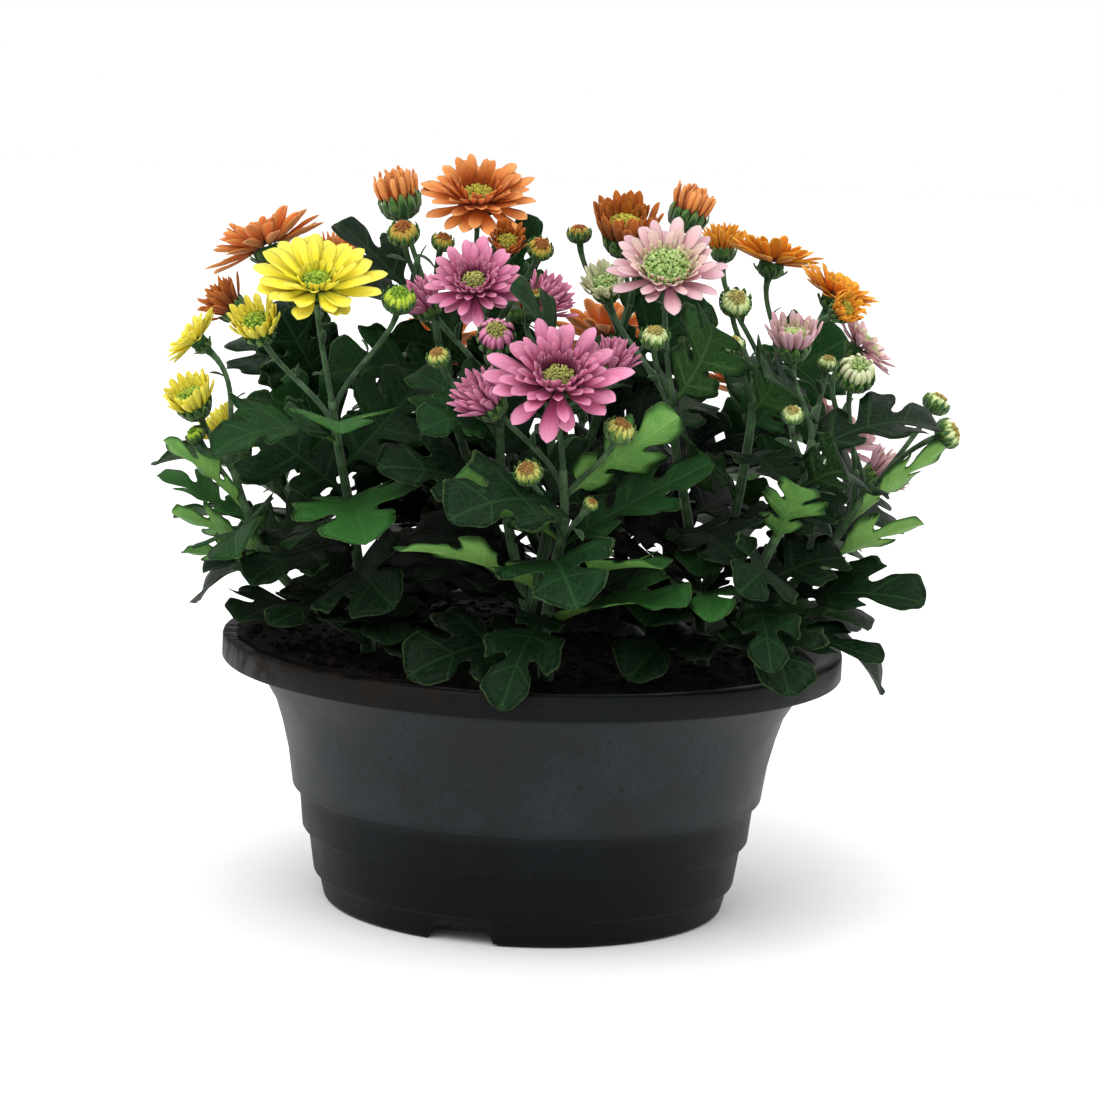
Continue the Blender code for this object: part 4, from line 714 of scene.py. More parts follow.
def florets(rng, radius, low, rise, count):
    """Disc florets on a low dome, packed along a golden spiral: small five-sided cups that open upwards.

    The n-th stands at a radius that grows with the root of n, a golden turn on from the last.
    """
    tube = radius * FLORET_WIDE / math.sqrt(count)
    n = np.arange(count)
    reach = radius * np.sqrt((n + 0.5) / count)
    foot = level(n * GOLDEN_TURN + rng.uniform(-FLORET_SHIFT, FLORET_SHIFT, count)) * reach[:, None]
    lean = foot + (0.0, 0.0, radius * FLORET_UPRIGHT)
    foot[:, 2] = low + rise * (1.0 - (reach / radius) ** 2)
    lean = unit(lean + rng.normal(0.0, FLORET_SHIFT * radius, lean.shape))
    side = unit(np.cross(lean, (0.3, 1.0, 0.1)))
    other = np.cross(lean, side)
    angle = np.arange(FLORET_CORNERS) * math.tau / FLORET_CORNERS
    arm = side[:, None] * np.cos(angle)[:, None] + other[:, None] * np.sin(angle)[:, None]
    height, wide, share = (values.reshape(1, -1, 1) for values in np.array(FLORET_ROWS).T)
    height = height * column(tube * FLORET_TALL * rng.uniform(*FLORET_HEIGHTS, count))
    points = foot[:, None, None] + lean[:, None, None] * height[..., None]
    points = points + arm[:, None] * wide[..., None] * tube
    quads, tris = tube_faces(*points.shape[:3])
    return Shape(points, quads, tris, share=share, tone=column(rng.random(count)))


def dome(radius, low, high):
    """Small closed dome that fills the middle of a head: a quarter ellipse turned round its axis."""
    t = np.linspace(0.0, math.pi / 2, 6)
    profile = [(0.0, low), (radius * 0.98, low)]
    profile += [(radius * math.cos(a), low + (high - low) * math.sin(a)) for a in t[1:-1]]
    profile.append((0.0, high))
    return turned(profile, DOME_COLUMNS, share=0.1, tone=0.3, layer=0.5)


def closed_core(size):
    """Round middle of a closed bud, under its folded petals: an ellipse turned round its axis."""
    wide, middle, tall = CORE
    t = np.linspace(-math.pi / 2, math.pi / 2, 9)
    profile = [(size * wide * math.cos(a), size * (middle + tall * math.sin(a))) for a in t]
    return turned(profile, CORE_COLUMNS, share=0.2, tone=0.3, layer=0.5)


def head_petals(name):
    """Petals of one head, in place, with the dome or core that they stand round."""
    size = HEADS[name][5]
    rng = head_rng(name, PETAL_SEED)
    if habit(name) == "open":
        return ring_blades(rng, size, OPEN_RINGS[head_colour(name)], RAY, RAY_THICK).placed(head_matrix(name))
    rings, outline, thick, middle = HABITS[habit(name)]
    if middle:
        radius, low, high = middle
        core = dome(size * radius, low, size * high)
    else:
        core = closed_core(size)
    return join((ring_blades(rng, size, rings, outline, thick), core)).placed(head_matrix(name))


def head_eye(name):
    """Florets in the middle of a head, in place, or nothing where its petals still hide them."""
    size = HEADS[name][5]
    rng = head_rng(name, EYE_SEED)
    is_open = habit(name) == "open"
    row = EYES.get(head_colour(name) if is_open else habit(name))
    if row is None:
        return None
    radius, low, rise = row
    foot = HUB_HEIGHT + GAP if is_open else 0.0
    radius, low, rise = radius * size, low * size + foot, rise * size
    base = low - (EYE_SUNK if is_open else EYE_SUNK_SHARE * size)
    count = int(np.clip(radius * FLORETS_PER_MM, *FLORET_COUNTS))
    parts = dome(radius, base, low + rise), florets(rng, radius, low, rise, count)
    return join(parts).placed(head_matrix(name))


SCALE_CUP = -0.25
SCALE_THICK = 0.45
CUP_COLUMNS = 20


def cup_outline(kind, size):
    """Profile of a green cup as radius and height, and its two rings of scales, in millimetres.

    Each ring is the number of scales, their start radius as share of the diameter, their height in
    millimetres, length and width as shares, and lift at the root and at the tip in degrees.
    """
    if kind in ("open", "back"):
        profile = ((0, -7.0), (1.2, -7.0), (1.5, -5.2), (0.075 * size, -3.6), (0.115 * size, -1.6),
                   (0.125 * size, 0.2), (0.12 * size, 1.0), (0, 1.1))
        rings = ((11, 0.045, -4.6, 0.12, 0.070, 22, 58), (12, 0.075, -3.4, 0.12, 0.070, 18, 54))
    elif kind == "half":
        profile = ((0, -0.34 * size), (1.2, -0.34 * size), (1.5, -0.29 * size), (0.20 * size, -0.2 * size),
                   (0.265 * size, -0.1 * size), (0.255 * size, 0.04 * size), (0, 0.08 * size))
        rings = ((11, 0.10, -0.26 * size, 0.34, 0.17, 20, 84), (13, 0.17, -0.2 * size, 0.36, 0.16, 38, 84))
    elif kind == "bud":
        profile = ((0, -0.5 * size), (1.2, -0.5 * size), (1.5, -0.46 * size), (0.28 * size, -0.4 * size),
                   (0.39 * size, -0.24 * size), (0.415 * size, -0.1 * size), (0.38 * size, 0.0),
                   (0, 0.1 * size))
        rings = ((11, 0.14, -0.46 * size, 0.52, 0.23, 10, 100), (13, 0.27, -0.40 * size, 0.58, 0.21, 34, 110))
    else:
        profile = ((0, -0.52 * size), (1.0, -0.52 * size), (1.3, -0.46 * size), (0.27 * size, -0.39 * size),
                   (0.41 * size, -0.24 * size), (0.42 * size, -0.08 * size), (0.3 * size, 0.02 * size),
                   (0, 0.02 * size))
        rings = ((11, 0.13, -0.44 * size, 0.56, 0.22, 8, 88), (12, 0.27, -0.38 * size, 0.56, 0.19, 28, 112))
    return profile, rings


def head_cup(name):
    """Green cup of a head in place: a turned body with two rings of pointed scales that lie against it."""
    kind, size = HEADS[name][0], HEADS[name][5]
    rng = head_rng(name, CUP_SEED)
    profile, rings = cup_outline(kind, size)
    parts = [turned(profile, CUP_COLUMNS, share=0.2)]
    for count, start, height, length, width, lift_root, lift_tip in rings:
        out = level(math.tau * (np.arange(count) + 0.5 * len(parts)) / count)
        up = np.tile((0.0, 0.0, 1.0), (count, 1))
        root = out * start * size + up * height
        lift = np.radians(np.full(count, lift_root)), np.radians(lift_tip + rng.normal(0.0, 3.0, count))
        long = size * length * rng.uniform(0.9, 1.05, count)
        wide = np.full(count, size * width)
        tone = rng.random(count)
        parts.append(blades(root, out, up, long, wide, lift, SCALE, SCALE_CUP, SCALE_THICK, tone, 0.6,
                            columns=3))
    return join(parts).placed(head_matrix(name))


# Stems and leaves


# Heights along a plant's foot in the soil, its radius, and the rows of rings along each kind of stem.
FOOT_HEIGHTS = (84.0, 92.0, 99.5)
FOOT_RADIUS = 2.75
FOOT_ROWS = 6
SHOOT_ROWS = 26
STALK_ROWS = 16
# Radius of a stalk as share of the usual one, at four places along it.
STALK_SWELL = ((0.0, 0.12, 0.85, 1.0), (1.3, 1.0, 1.0, 1.35))

# Small leaves on a stalk: rows along its line, those where one may stand, how often one is missing, how far
# it spreads, and lengths and widths in millimetres.
BRACT_LINE_ROWS = 24
BRACT_ROWS = (7, 13, 18)
BRACT_MISSING = 0.4
BRACT_SPREAD = 1.1
BRACT_LENGTHS = (5.5, 9.5)
BRACT_WIDTHS = (2.4, 3.6)


def bezier(start, leave, arrive, end, rows):
    """Points of a smooth stalk: a cubic curve that leaves and arrives along the given vectors."""
    t = np.linspace(0.0, 1.0, rows)[:, None]
    s = 1.0 - t
    return start * s ** 3 + (start + leave) * 3 * s * s * t + (end - arrive) * 3 * s * t * t + end * t ** 3


def stalk_line(name, rows):
    """Middle line of a head's stalk, from inside its shoot to its cup."""
    kind, shoot, height, _, _, size = HEADS[name]
    base, facing = head_base(name)
    start, way = along(shoot_path(shoot), height)
    drop = {"open": 6.0, "back": 6.0, "half": 0.32 * size, "bud": 0.48 * size, "closed": 0.5 * size}[kind]
    neck = base - facing * drop
    reach = np.linalg.norm(neck - start)
    return bezier(start, way * reach * 0.3, facing * reach * 0.35, neck, rows)


def plant_stems(plant):
    """Shoots and stalks of one plant, with the foot that stands in the soil."""
    shoots = [name for name, row in SHOOTS.items() if row[0] == plant]
    stalks = [name for name, head in HEADS.items() if SHOOTS[head[1]][0] == plant]
    foot = smooth_line([(*FEET[plant], height) for height in FOOT_HEIGHTS], FOOT_ROWS)
    shoot_radii = np.linspace(SHOOT_FOOT_RADIUS, SHOOT_TOP_RADIUS, SHOOT_ROWS)
    stalk_radii = STALK_RADIUS * np.interp(np.linspace(0, 1, STALK_ROWS), *STALK_SWELL)
    return join((
        tubes([foot], FOOT_RADIUS),
        tubes([smooth_line(shoot_path(name), SHOOT_ROWS) for name in shoots], shoot_radii),
        tubes([stalk_line(name, STALK_ROWS) for name in stalks], stalk_radii),
    ))


def stalk_bracts(rng, plant):
    """Small narrow leaves on the stalks of one plant, up to three to a stalk, a golden turn apart."""
    roots, outs, ups = [], [], []
    for number, (name, head) in enumerate(HEADS.items()):
        if SHOOTS[head[1]][0] != plant:
            continue
        line = stalk_line(name, BRACT_LINE_ROWS)
        for step, row in enumerate(BRACT_ROWS):
            if rng.random() < BRACT_MISSING:
                continue
            way = unit(line[row + 1] - line[row])
            side = unit(np.cross(way, (0.2, 0.9, 0.1)))
            turn = GOLDEN_TURN * step + number
            arm = side * math.cos(turn) + np.cross(way, side) * math.sin(turn)
            roots.append(line[row] + arm * STALK_RADIUS * 0.6)
            outs.append(unit(arm + way * BRACT_SPREAD))
            ups.append(unit(way - arm * BRACT_SPREAD))
    count = len(roots)
    outs, ups = np.array(outs), np.array(ups)
    ups = unit(ups - outs * np.sum(ups * outs, axis=1)[:, None])
    lift = np.radians(rng.uniform(0.0, 14.0, count)), np.radians(rng.uniform(-50.0, -10.0, count))
    long = rng.uniform(*BRACT_LENGTHS, count)
    wide = rng.uniform(*BRACT_WIDTHS, count)
    return blades(roots, outs, ups, long, wide, lift, BRACT, 0.25, 0.4, rng.random(count), 0.3)


LEAF_ROWS = 71
LEAF_COLUMNS = 7
VEIN_START = 0.20
VEIN_STEP = 0.25

# Middle and half size of the bush, in which leaves are painted the darker the deeper they lie: painted shade.
BUSH_MIDDLE = (0.0, 0.0, 105.0)
BUSH_REACH = (145.0, 125.0, 130.0)

# Teeth round half a leaf, their depth and how much lobes differ, as shares of the half width.
TEETH = 13.0
TOOTH_DEPTH = 0.05
LOBE_CHANGE = 0.13

# Heights in millimetres: the cushions between the veins, the ripple of the edge, the curl of the tip, and the
# rib's keel below. Twist is a share.
PUFF = 0.8
RIPPLES = (0.8, 2.4)
TWISTS = (-0.16, 0.16)
CURLS = (-1.2, 2.0)
KEEL = 0.45
KEEL_WIDE = 0.9
# Thickness from the stalk to the tip: shares of the rib, and millimetres there.
LEAF_THICK = ((0.0, 0.12, 0.3, 1.0), (1.6, 1.3, 0.7, 0.45))

# Steps along the smooth edge, and how a step across counts beside one along the leaf.
EDGE_STEPS = 600
EDGE_ACROSS = 0.4
# One half of a leaf: place along and across it, as shares of its length and half width, of points round its
# edge from the stalk over two side lobes and the round cuts behind them to the tip, and for each point the
# place on the rib from which the line to it leaves.
LEAF_EDGE = (
    (0.0, 0.045, 0.0), (0.08, 0.055, 0.07), (0.13, 0.09, 0.11), (0.15, 0.20, 0.133),
    (0.155, 0.38, 0.153), (0.195, 0.57, 0.176), (0.27, 0.67, 0.194), (0.34, 0.63, 0.212),
    (0.378, 0.52, 0.226), (0.372, 0.40, 0.242), (0.347, 0.29, 0.26), (0.355, 0.205, 0.284),
    (0.387, 0.195, 0.313), (0.42, 0.34, 0.347), (0.455, 0.60, 0.38), (0.495, 0.83, 0.412),
    (0.56, 0.975, 0.44), (0.64, 1.02, 0.462), (0.71, 0.96, 0.478), (0.745, 0.82, 0.492),
    (0.728, 0.66, 0.508), (0.685, 0.49, 0.53), (0.662, 0.37, 0.556), (0.688, 0.295, 0.588),
    (0.733, 0.36, 0.625), (0.785, 0.52, 0.66), (0.85, 0.62, 0.695), (0.918, 0.61, 0.74),
    (0.965, 0.49, 0.80), (0.99, 0.31, 0.87), (1.0, 0.14, 0.95), (1.0, 0.0, 1.0),
)


def edge_rows():
    """Places round a leaf's edge, spread evenly along a smooth curve through its points, and walked share."""
    curve = smooth_line(LEAF_EDGE, EDGE_STEPS)
    steps = np.hypot(np.diff(curve[:, 0]), EDGE_ACROSS * np.diff(curve[:, 1]))
    walk = np.concatenate(((0.0,), np.cumsum(steps)))
    even = np.linspace(0.0, walk[-1], LEAF_ROWS)
    far, wide, rib = (np.interp(even, walk, curve[:, i])[None, :, None] for i in range(3))
    return far, wide, rib, (even / walk[-1])[None, :, None]


def leaf_blades(rng, leaves):
    """Lobed leaves: each lies on an arc from its base to its tip, folded a little along its rib.

    Straight lines run from the rib to the edge, one for each row, so that the lobes and the cuts between
    them are round. Small teeth lengthen and shorten the lines. The leaf swells between its veins, its edge
    rises and falls, its tip curls, and the whole leaf is twisted a little.
    """
    base, tip, upper, width, bend, lit = (np.array([leaf[i] for leaf in leaves], float) for i in range(6))
    count = len(leaves)
    chord = tip - base
    ahead = unit(chord)
    normal = unit(upper - ahead * np.sum(upper * ahead, axis=1)[:, None])
    side = np.cross(ahead, normal)
    arc = column(np.radians(bend))
    radius = column(np.linalg.norm(chord, axis=1)) / 2.0 / np.sin(arc / 2.0)
    far, wide, rib, step = edge_rows()
    across, face = lens_ring(LEAF_COLUMNS)
    own = column(rng.random(count))
    hand = np.sign(across)
    # Painted light: a leaf listed as lit gets a tone near the top of the range, the others one lower down.
    tone = np.where(column(lit) > 0, 0.8 + 0.2 * own, 0.7 * own)
    ends = np.clip((step - 0.1) / 0.05, 0.0, 1.0)
    teeth = np.cos(math.tau * TEETH * step + 9.0 * own) * ends * (1.0 - step ** 8)
    grow = (1.0 + TOOTH_DEPTH * teeth) * np.abs(across)
    stretch = 1.0 + LOBE_CHANGE * np.sin(7.0 * rib + 40.0 * own + 2.0 * hand)
    wide = np.minimum(wide * stretch, 1.05)
    out = wide * grow * hand
    share = np.clip(rib + (far - rib) * grow, 0.0, 1.0)
    angle = arc / 2.0 - arc * share
    run = radius * (np.sin(arc / 2.0) - np.sin(angle))
    rise = radius * (np.cos(angle) - np.cos(arc / 2.0))
    half = column(width) * 0.5
    blade = np.clip((rib - 0.1) / 0.1, 0.0, 1.0)
    puff = PUFF * np.cos(math.tau * (rib - VEIN_START - 0.5 * VEIN_STEP) / VEIN_STEP) * np.abs(out)
    ripple = column(rng.uniform(*RIPPLES, count)) * np.sin(15.0 * share + 30.0 * own + 1.9 * hand) * out ** 2
    twist = column(rng.uniform(*TWISTS, count)) * share * out * half
    curl = column(rng.uniform(*CURLS, count)) * np.clip((share - 0.7) / 0.3, 0.0, 1.0) ** 2
    lift = np.abs(out) * half * 2.0 * LEAF_FOLD + (puff + ripple) * blade + twist - curl
    thick = np.interp(rib, *LEAF_THICK)
    keel = KEEL * np.exp(-(out * half / KEEL_WIDE) ** 2) * (1.0 - rib)
    off = face * thick * 0.5 * (1.0 - across ** 4) - keel * (face < 0)
    up = normal[:, None, None] * np.cos(angle)[..., None] - ahead[:, None, None] * np.sin(angle)[..., None]
    points = base[:, None, None] + ahead[:, None, None] * run[..., None]
    points = points + normal[:, None, None] * (rise + lift)[..., None]
    points = points + side[:, None, None] * (out * half)[..., None] + up * off[..., None]
    quads, tris = tube_faces(*points.shape[:3], lens=True)
    # Depth in the bush, from which the leaf material paints shade on the leaves inside it.
    depth = np.linalg.norm((points - BUSH_MIDDLE) / BUSH_REACH, axis=-1)
    return Shape(points, quads, tris, share=rib, across=out, depth=depth, under=face < 0, tone=tone,
                 layer=np.abs(across))


# Pot and soil


# Wall of the pot as radius and height: up the outside with its steps and rim, and down the inside.
POT_PROFILE = (
    (0.0, 0.0), (39.6, 0.0), (40.2, 0.5), (41.5, 5.6), (42.2, 6.0), (70.5, 6.0), (71.0, 5.6), (71.0, 0.6),
    (71.4, 0.0), (73.2, 0.0), (74.6, 0.8), (75.0, 2.0), (76.7, 9.2), (77.2, 9.9), (78.5, 10.1),
    (78.8, 10.8), (81.0, 25.4), (81.5, 26.2), (83.0, 26.5), (83.4, 27.1), (84.9, 41.3), (85.4, 42.1),
    (87.2, 42.4), (87.6, 43.0), (89.5, 56.0), (92.1, 66.6), (94.8, 75.0), (97.2, 79.0), (99.0, 82.0),
    (105.4, 92.5), (106.6, 93.6), (112.8, 94.2), (113.3, 93.8), (113.5, 90.6), (113.9, 90.0),
    (114.6, 90.0), (115.0, 90.5), (115.0, 97.9), (114.8, 98.6), (114.2, 99.0), (108.4, 98.7),
    (107.3, 98.2), (96.6, 80.5), (96.0, 79.8), (93.0, 75.0), (82.5, 38.0), (75.4, 10.0), (74.6, 9.0),
    (41.0, 7.7), (40.0, 7.2), (38.8, 2.3), (38.3, 2.0), (0.0, 2.0),
)
POT_COLUMNS = 240
FOOT_RING = (70.7, 76.5)
NOTCH_TURNS = (-17.0, 103.0, 223.0)
NOTCH_WIDE = 12.5
NOTCH_NARROW = 10.5
NOTCH_HEIGHT = 5.5
DRAIN_COUNT = 6
DRAIN_RADIUS = 4.0
DRAIN_CIRCLE = 56.0
DRAIN_CUT = (3.0, 12.0)
DRAIN_COLUMNS = 24

# Underside and side of the soil, which clear the pot, and the radii of the rings of its top.
SOIL_SIDE = (
    (0.0, 2.35), (38.2, 2.35), (39.8, 7.95), (74.4, 9.4), (82.1, 38.0), (92.6, 75.1), (95.8, 80.1),
    (103.2, 93.0),
)
SOIL_EDGE = 103.4
SOIL_RINGS = np.concatenate((np.linspace(SOIL_EDGE, 98.0, 5), np.linspace(96.0, 4.0, 47)))
SOIL_COLUMNS = 300
SOIL_LEVEL = 95.0
SOIL_TOP_ABOVE = 93.5

# Where the soil lies out over the rim: direction, half angle and fade in degrees, then the heap's height,
# start and width, how far it reaches out, and the length and number of its tongues, in millimetres.
SPILL_AZIMUTH = 199.0
SPILL_HALF_ANGLE = 66.0
SPILL_FADE = 26.0
HEAP_HEIGHT = 4.4
HEAP_START = 88.0
HEAP_WIDE = 15.4
SPILL_OUT = 6.0
TONGUE = 1.2
TONGUES = 23.0

# The soil's top in millimetres: how far it stands above its level, how far it dips at the rim, height of its
# bumps and how much less of it at the rim, and the length and height of each wave of the bumps.
SOIL_RAISED = 0.6
RIM_DIP = 0.5
BUMPS = 0.62
BUMPS_LESS = 0.3
SOIL_WAVES = ((46.0, 1.0), (19.0, 0.8), (8.3, 0.62), (4.1, 0.42), (2.3, 0.26))
CRUMB_COUNT = 900
CRUMB_SIZES = (0.5, 1.9)
CRUMB_REACH = 101.0
CRUMB_REACH_OUT = 7.0


def fade_in(value, start, length):
    """Share from 0 at the start to 1 this far beyond it."""
    return np.clip((value - start) / length, 0.0, 1.0)


def pot_shape():
    """Turned bowl whose foot ring is raised over each notch, so that the notches go through it."""
    shape = turned(POT_PROFILE, POT_COLUMNS)
    x, y, z = shape.points.T
    reach = np.hypot(x, y)
    heading = np.degrees(np.arctan2(y, x))
    for turn in NOTCH_TURNS:
        away = (heading - (turn - 90.0) + 180.0) % 360.0 - 180.0
        aside = np.abs(np.radians(away)) * reach
        slope = np.clip((NOTCH_WIDE - aside) / (NOTCH_WIDE - NOTCH_NARROW), 0.0, 1.0)
        foot = (reach > FOOT_RING[0]) & (reach < FOOT_RING[1])
        z = np.where(foot, np.maximum(z, slope * NOTCH_HEIGHT), z)
    shape.points[:, 2] = z
    return shape


def drain_cutter():
    """Round rods through the pot's floor, evenly round a circle."""
    low, high = DRAIN_CUT
    parts = []
    for number in range(DRAIN_COUNT):
        angle = math.tau * (number + 0.5) / DRAIN_COUNT
        rod = turned(((0, low), (DRAIN_RADIUS, low), (DRAIN_RADIUS, high), (0, high)), DRAIN_COLUMNS)
        rod.points += (DRAIN_CIRCLE * math.cos(angle), DRAIN_CIRCLE * math.sin(angle), 0.0)
        parts.append(rod)
    return join(parts)


def spill(angle):
    """How far the soil lies out over the rim at this direction, from 0 to 1."""
    away = np.abs((np.degrees(angle) - SPILL_AZIMUTH + 180.0) % 360.0 - 180.0)
    share = np.clip((SPILL_HALF_ANGLE - away) / SPILL_FADE, 0.0, 1.0)
    return share * share * (3.0 - 2.0 * share)


def heap(reach, share):
    """Height of the heap against the rim, where share says how far the soil lies out there."""
    return HEAP_HEIGHT * share * fade_in(reach, HEAP_START, HEAP_WIDE) ** 2


def rough(x, y):
    """Crumbly ground: a sum of waves of falling length, each turned against the last and bent by another."""
    total = 0.0
    for number, (length, height) in enumerate(SOIL_WAVES):
        turn = 2.4 * number
        a = (x * math.cos(turn) + y * math.sin(turn)) * math.tau / length + 1.7 * number
        b = (y * math.cos(turn) - x * math.sin(turn)) * math.tau / (length * 1.13) + 0.9 * number
        total = total + height * np.sin(a + 1.4 * np.sin(b)) * np.cos(b + 1.2 * np.sin(a))
    return total


def soil_shape():
    """Soil that fills the pot: a turned body with a crumbly top that lies over the rim on the left."""
    profile = list(SOIL_SIDE) + [(radius, SOIL_LEVEL) for radius in SOIL_RINGS] + [(0.0, SOIL_LEVEL)]
    shape = turned(profile, SOIL_COLUMNS)
    x, y, z = shape.points.T
    reach = np.hypot(x, y)
    angle = np.arctan2(y, x)
    share = spill(angle)
    rim = fade_in(reach, 96.0, 7.4)
    lift = heap(reach, share) - RIM_DIP * rim * (1.0 - share)
    height = SOIL_LEVEL + SOIL_RAISED + lift + rough(x, y) * (BUMPS - BUMPS_LESS * rim)
    out = SPILL_OUT + TONGUE * np.sin(TONGUES * angle)
    grow = 1.0 + share * fade_in(reach, 97.0, 6.4) * out / SOIL_EDGE
    top = z > SOIL_TOP_ABOVE
    shape.points[top] = np.stack((x * grow, y * grow, height), axis=1)[top]
    return shape


def lumps(rng, places, sizes):
    """Small crumbs: rings of six corners between two ends, each corner moved a little at random."""
    count = len(sizes)
    t = np.array((-0.62, 0.0, 0.62))
    ring = np.arange(6) * math.tau / 6
    points = np.empty((count, 3, 6, 3))
    points[..., 0] = np.cos(ring + 0.5 * t[:, None]) * np.sqrt(1.0 - t ** 2)[:, None]
    points[..., 1] = np.sin(ring + 0.5 * t[:, None]) * np.sqrt(1.0 - t ** 2)[:, None]
    points[..., 2] = t[:, None]
    points *= rng.uniform(0.7, 1.25, (count, 3, 6, 1))
    stretch = rng.uniform(0.6, 1.3, (count, 1, 1, 3))
    points = points * stretch * column(sizes)[..., None] + places[:, None, None]
    return Shape(points, *tube_faces(count, 3, 6))


# Objects


def make(name, shape, material, slot, replaced):
    """Object from a shape, with its marks as attributes, that rides on the part in place of its nodes."""
    mesh = bpy.data.meshes.new(name)
    count = len(shape.points)
    loops = np.concatenate((shape.quads.ravel(), shape.tris.ravel())).astype(np.int32)
    sizes = np.concatenate((np.full(len(shape.quads), 4), np.full(len(shape.tris), 3))).astype(np.int32)
    mesh.vertices.add(count)
    mesh.vertices.foreach_set("co", (shape.points * MM).astype(np.float32).ravel())
    mesh.loops.add(len(loops))
    mesh.loops.foreach_set("vertex_index", loops)
    mesh.polygons.add(len(sizes))
    mesh.polygons.foreach_set("loop_start", np.concatenate(((0,), np.cumsum(sizes)[:-1])).astype(np.int32))
    mesh.update(calc_edges=True)
    mesh.validate()
    mesh.polygons.foreach_set("use_smooth", np.ones(len(sizes), bool))
    for key, values in shape.marks.items():
        mark = mesh.attributes.new(key, "FLOAT", "POINT")
        mark.data.foreach_set("value", values.astype(np.float32))
    mesh.materials.append(material)
    piece = bpy.data.objects.new(name, mesh)
    bpy.context.scene.collection.objects.link(piece)
    if replaced:
        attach(piece, "root")
        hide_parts(*replaced)
    return piece


# Materials


# Sizes in millimetres that the patterns on petals and leaves are worked out from.
PETAL_HALF_WIDTH = 3.2
NERVE_STEP = 1.0
LEAF_LONG = 51.0
LEAF_HALF_WIDTH = 21.0
NET_STEP = 3.0


def per_metre(width):
    """Scale of a pattern on object coordinates whose marks are this many millimetres wide."""
    return 1.0 / (width * MM)


def linear(colour):
    """Linear colour of an sRGB hex value."""
    values = [int(colour[i:i + 2], 16) / 255.0 for i in (1, 3, 5)]
    return (*[v / 12.92 if v <= 0.04045 else ((v + 0.055) / 1.055) ** 2.4 for v in values], 1.0)


def new_material(name, roughness, **sockets):
    """Material with a Principled shader, its node tree and the shader."""
    material = bpy.data.materials.new(name)
    material.use_nodes = True
    shader = material.node_tree.nodes["Principled BSDF"]
    shader.inputs["Roughness"].default_value = roughness
    for key, value in sockets.items():
        shader.inputs[key.replace("_", " ")].default_value = value
    return material, material.node_tree, shader


def add(tree, kind, inputs=(), out=0, stops=(), **settings):
    """One output of a new node with its settings, its inputs set to values or linked, and any ramp stops."""
    node = tree.nodes.new("ShaderNode" + kind)
    for key, value in settings.items():
        setattr(node, key, value)
    for number, (place, colour) in enumerate(stops):
        element = node.color_ramp.elements[number] if number < 2 else node.color_ramp.elements.new(place)
        element.position = place
        element.color = linear(colour)
    for key, value in dict(inputs).items():
        if isinstance(value, bpy.types.NodeSocket):
            tree.links.new(value, node.inputs[key])
        else:
            node.inputs[key].default_value = value
    return node.outputs[out]


def petal_material(name, outer, inner, under, streak):
    """Ray floret: thin fresh tissue, matt with a soft sheen and a little light let through.

    outer and inner are the colours at the root, the middle and the tip of an outer and an inner petal, under
    is that of the back, and streak that of the nerves that run lengthwise, about 1 mm apart. Each petal is a
    little lighter or darker than its neighbours.
    """
    material, tree, shader = new_material(name, 0.6, Subsurface_Weight=0.12, Subsurface_Scale=0.0015,
                                          Sheen_Weight=0.06, Specular_IOR_Level=0.12)
    marks = ("share", "across", "layer", "tone", "under")
    share, across, layer, tone, below = (add(tree, "Attribute", out=2, attribute_name=key) for key in marks)
    places = (0.0, 0.45, 1.0)
    outer_colour = add(tree, "ValToRGB", {0: share}, stops=zip(places, outer))
    inner_colour = add(tree, "ValToRGB", {0: share}, stops=zip(places, inner))
    colour = add(tree, "Mix", {0: layer, 6: outer_colour, 7: inner_colour}, 2, data_type="RGBA")
    lanes = add(tree, "Math", {0: across, 1: PETAL_HALF_WIDTH / NERVE_STEP}, operation="MULTIPLY")
    own = add(tree, "Math", {0: tone, 1: 40.0}, operation="MULTIPLY")
    place = add(tree, "CombineXYZ", {0: lanes, 1: share, 2: own})
    nerves = add(tree, "TexNoise", {"Vector": place, "Scale": 1.7, "Detail": 3.0})
    strength = add(tree, "ValToRGB", {0: nerves}, stops=((0.42, "#000000"), (0.8, "#7c7c7c")))
    colour = add(tree, "Mix", {0: strength, 6: colour, 7: linear(streak)}, 2, data_type="RGBA")
    back = add(tree, "Math", {0: below, 1: 0.5}, operation="MULTIPLY")
    colour = add(tree, "Mix", {0: back, 6: colour, 7: linear(under)}, 2, data_type="RGBA")
    shade = add(tree, "ValToRGB", {0: tone}, stops=((0.0, "#e4e4e4"), (1.0, "#ffffff")))
    colour = add(tree, "Mix", {0: 1.0, 6: colour, 7: shade}, 2, data_type="RGBA", blend_type="MULTIPLY")
    tree.links.new(colour, shader.inputs["Base Color"])
    normal = add(tree, "Bump", {"Height": nerves, "Distance": 0.4 * MM, "Strength": 0.5})
    tree.links.new(normal, shader.inputs["Normal"])
    return material


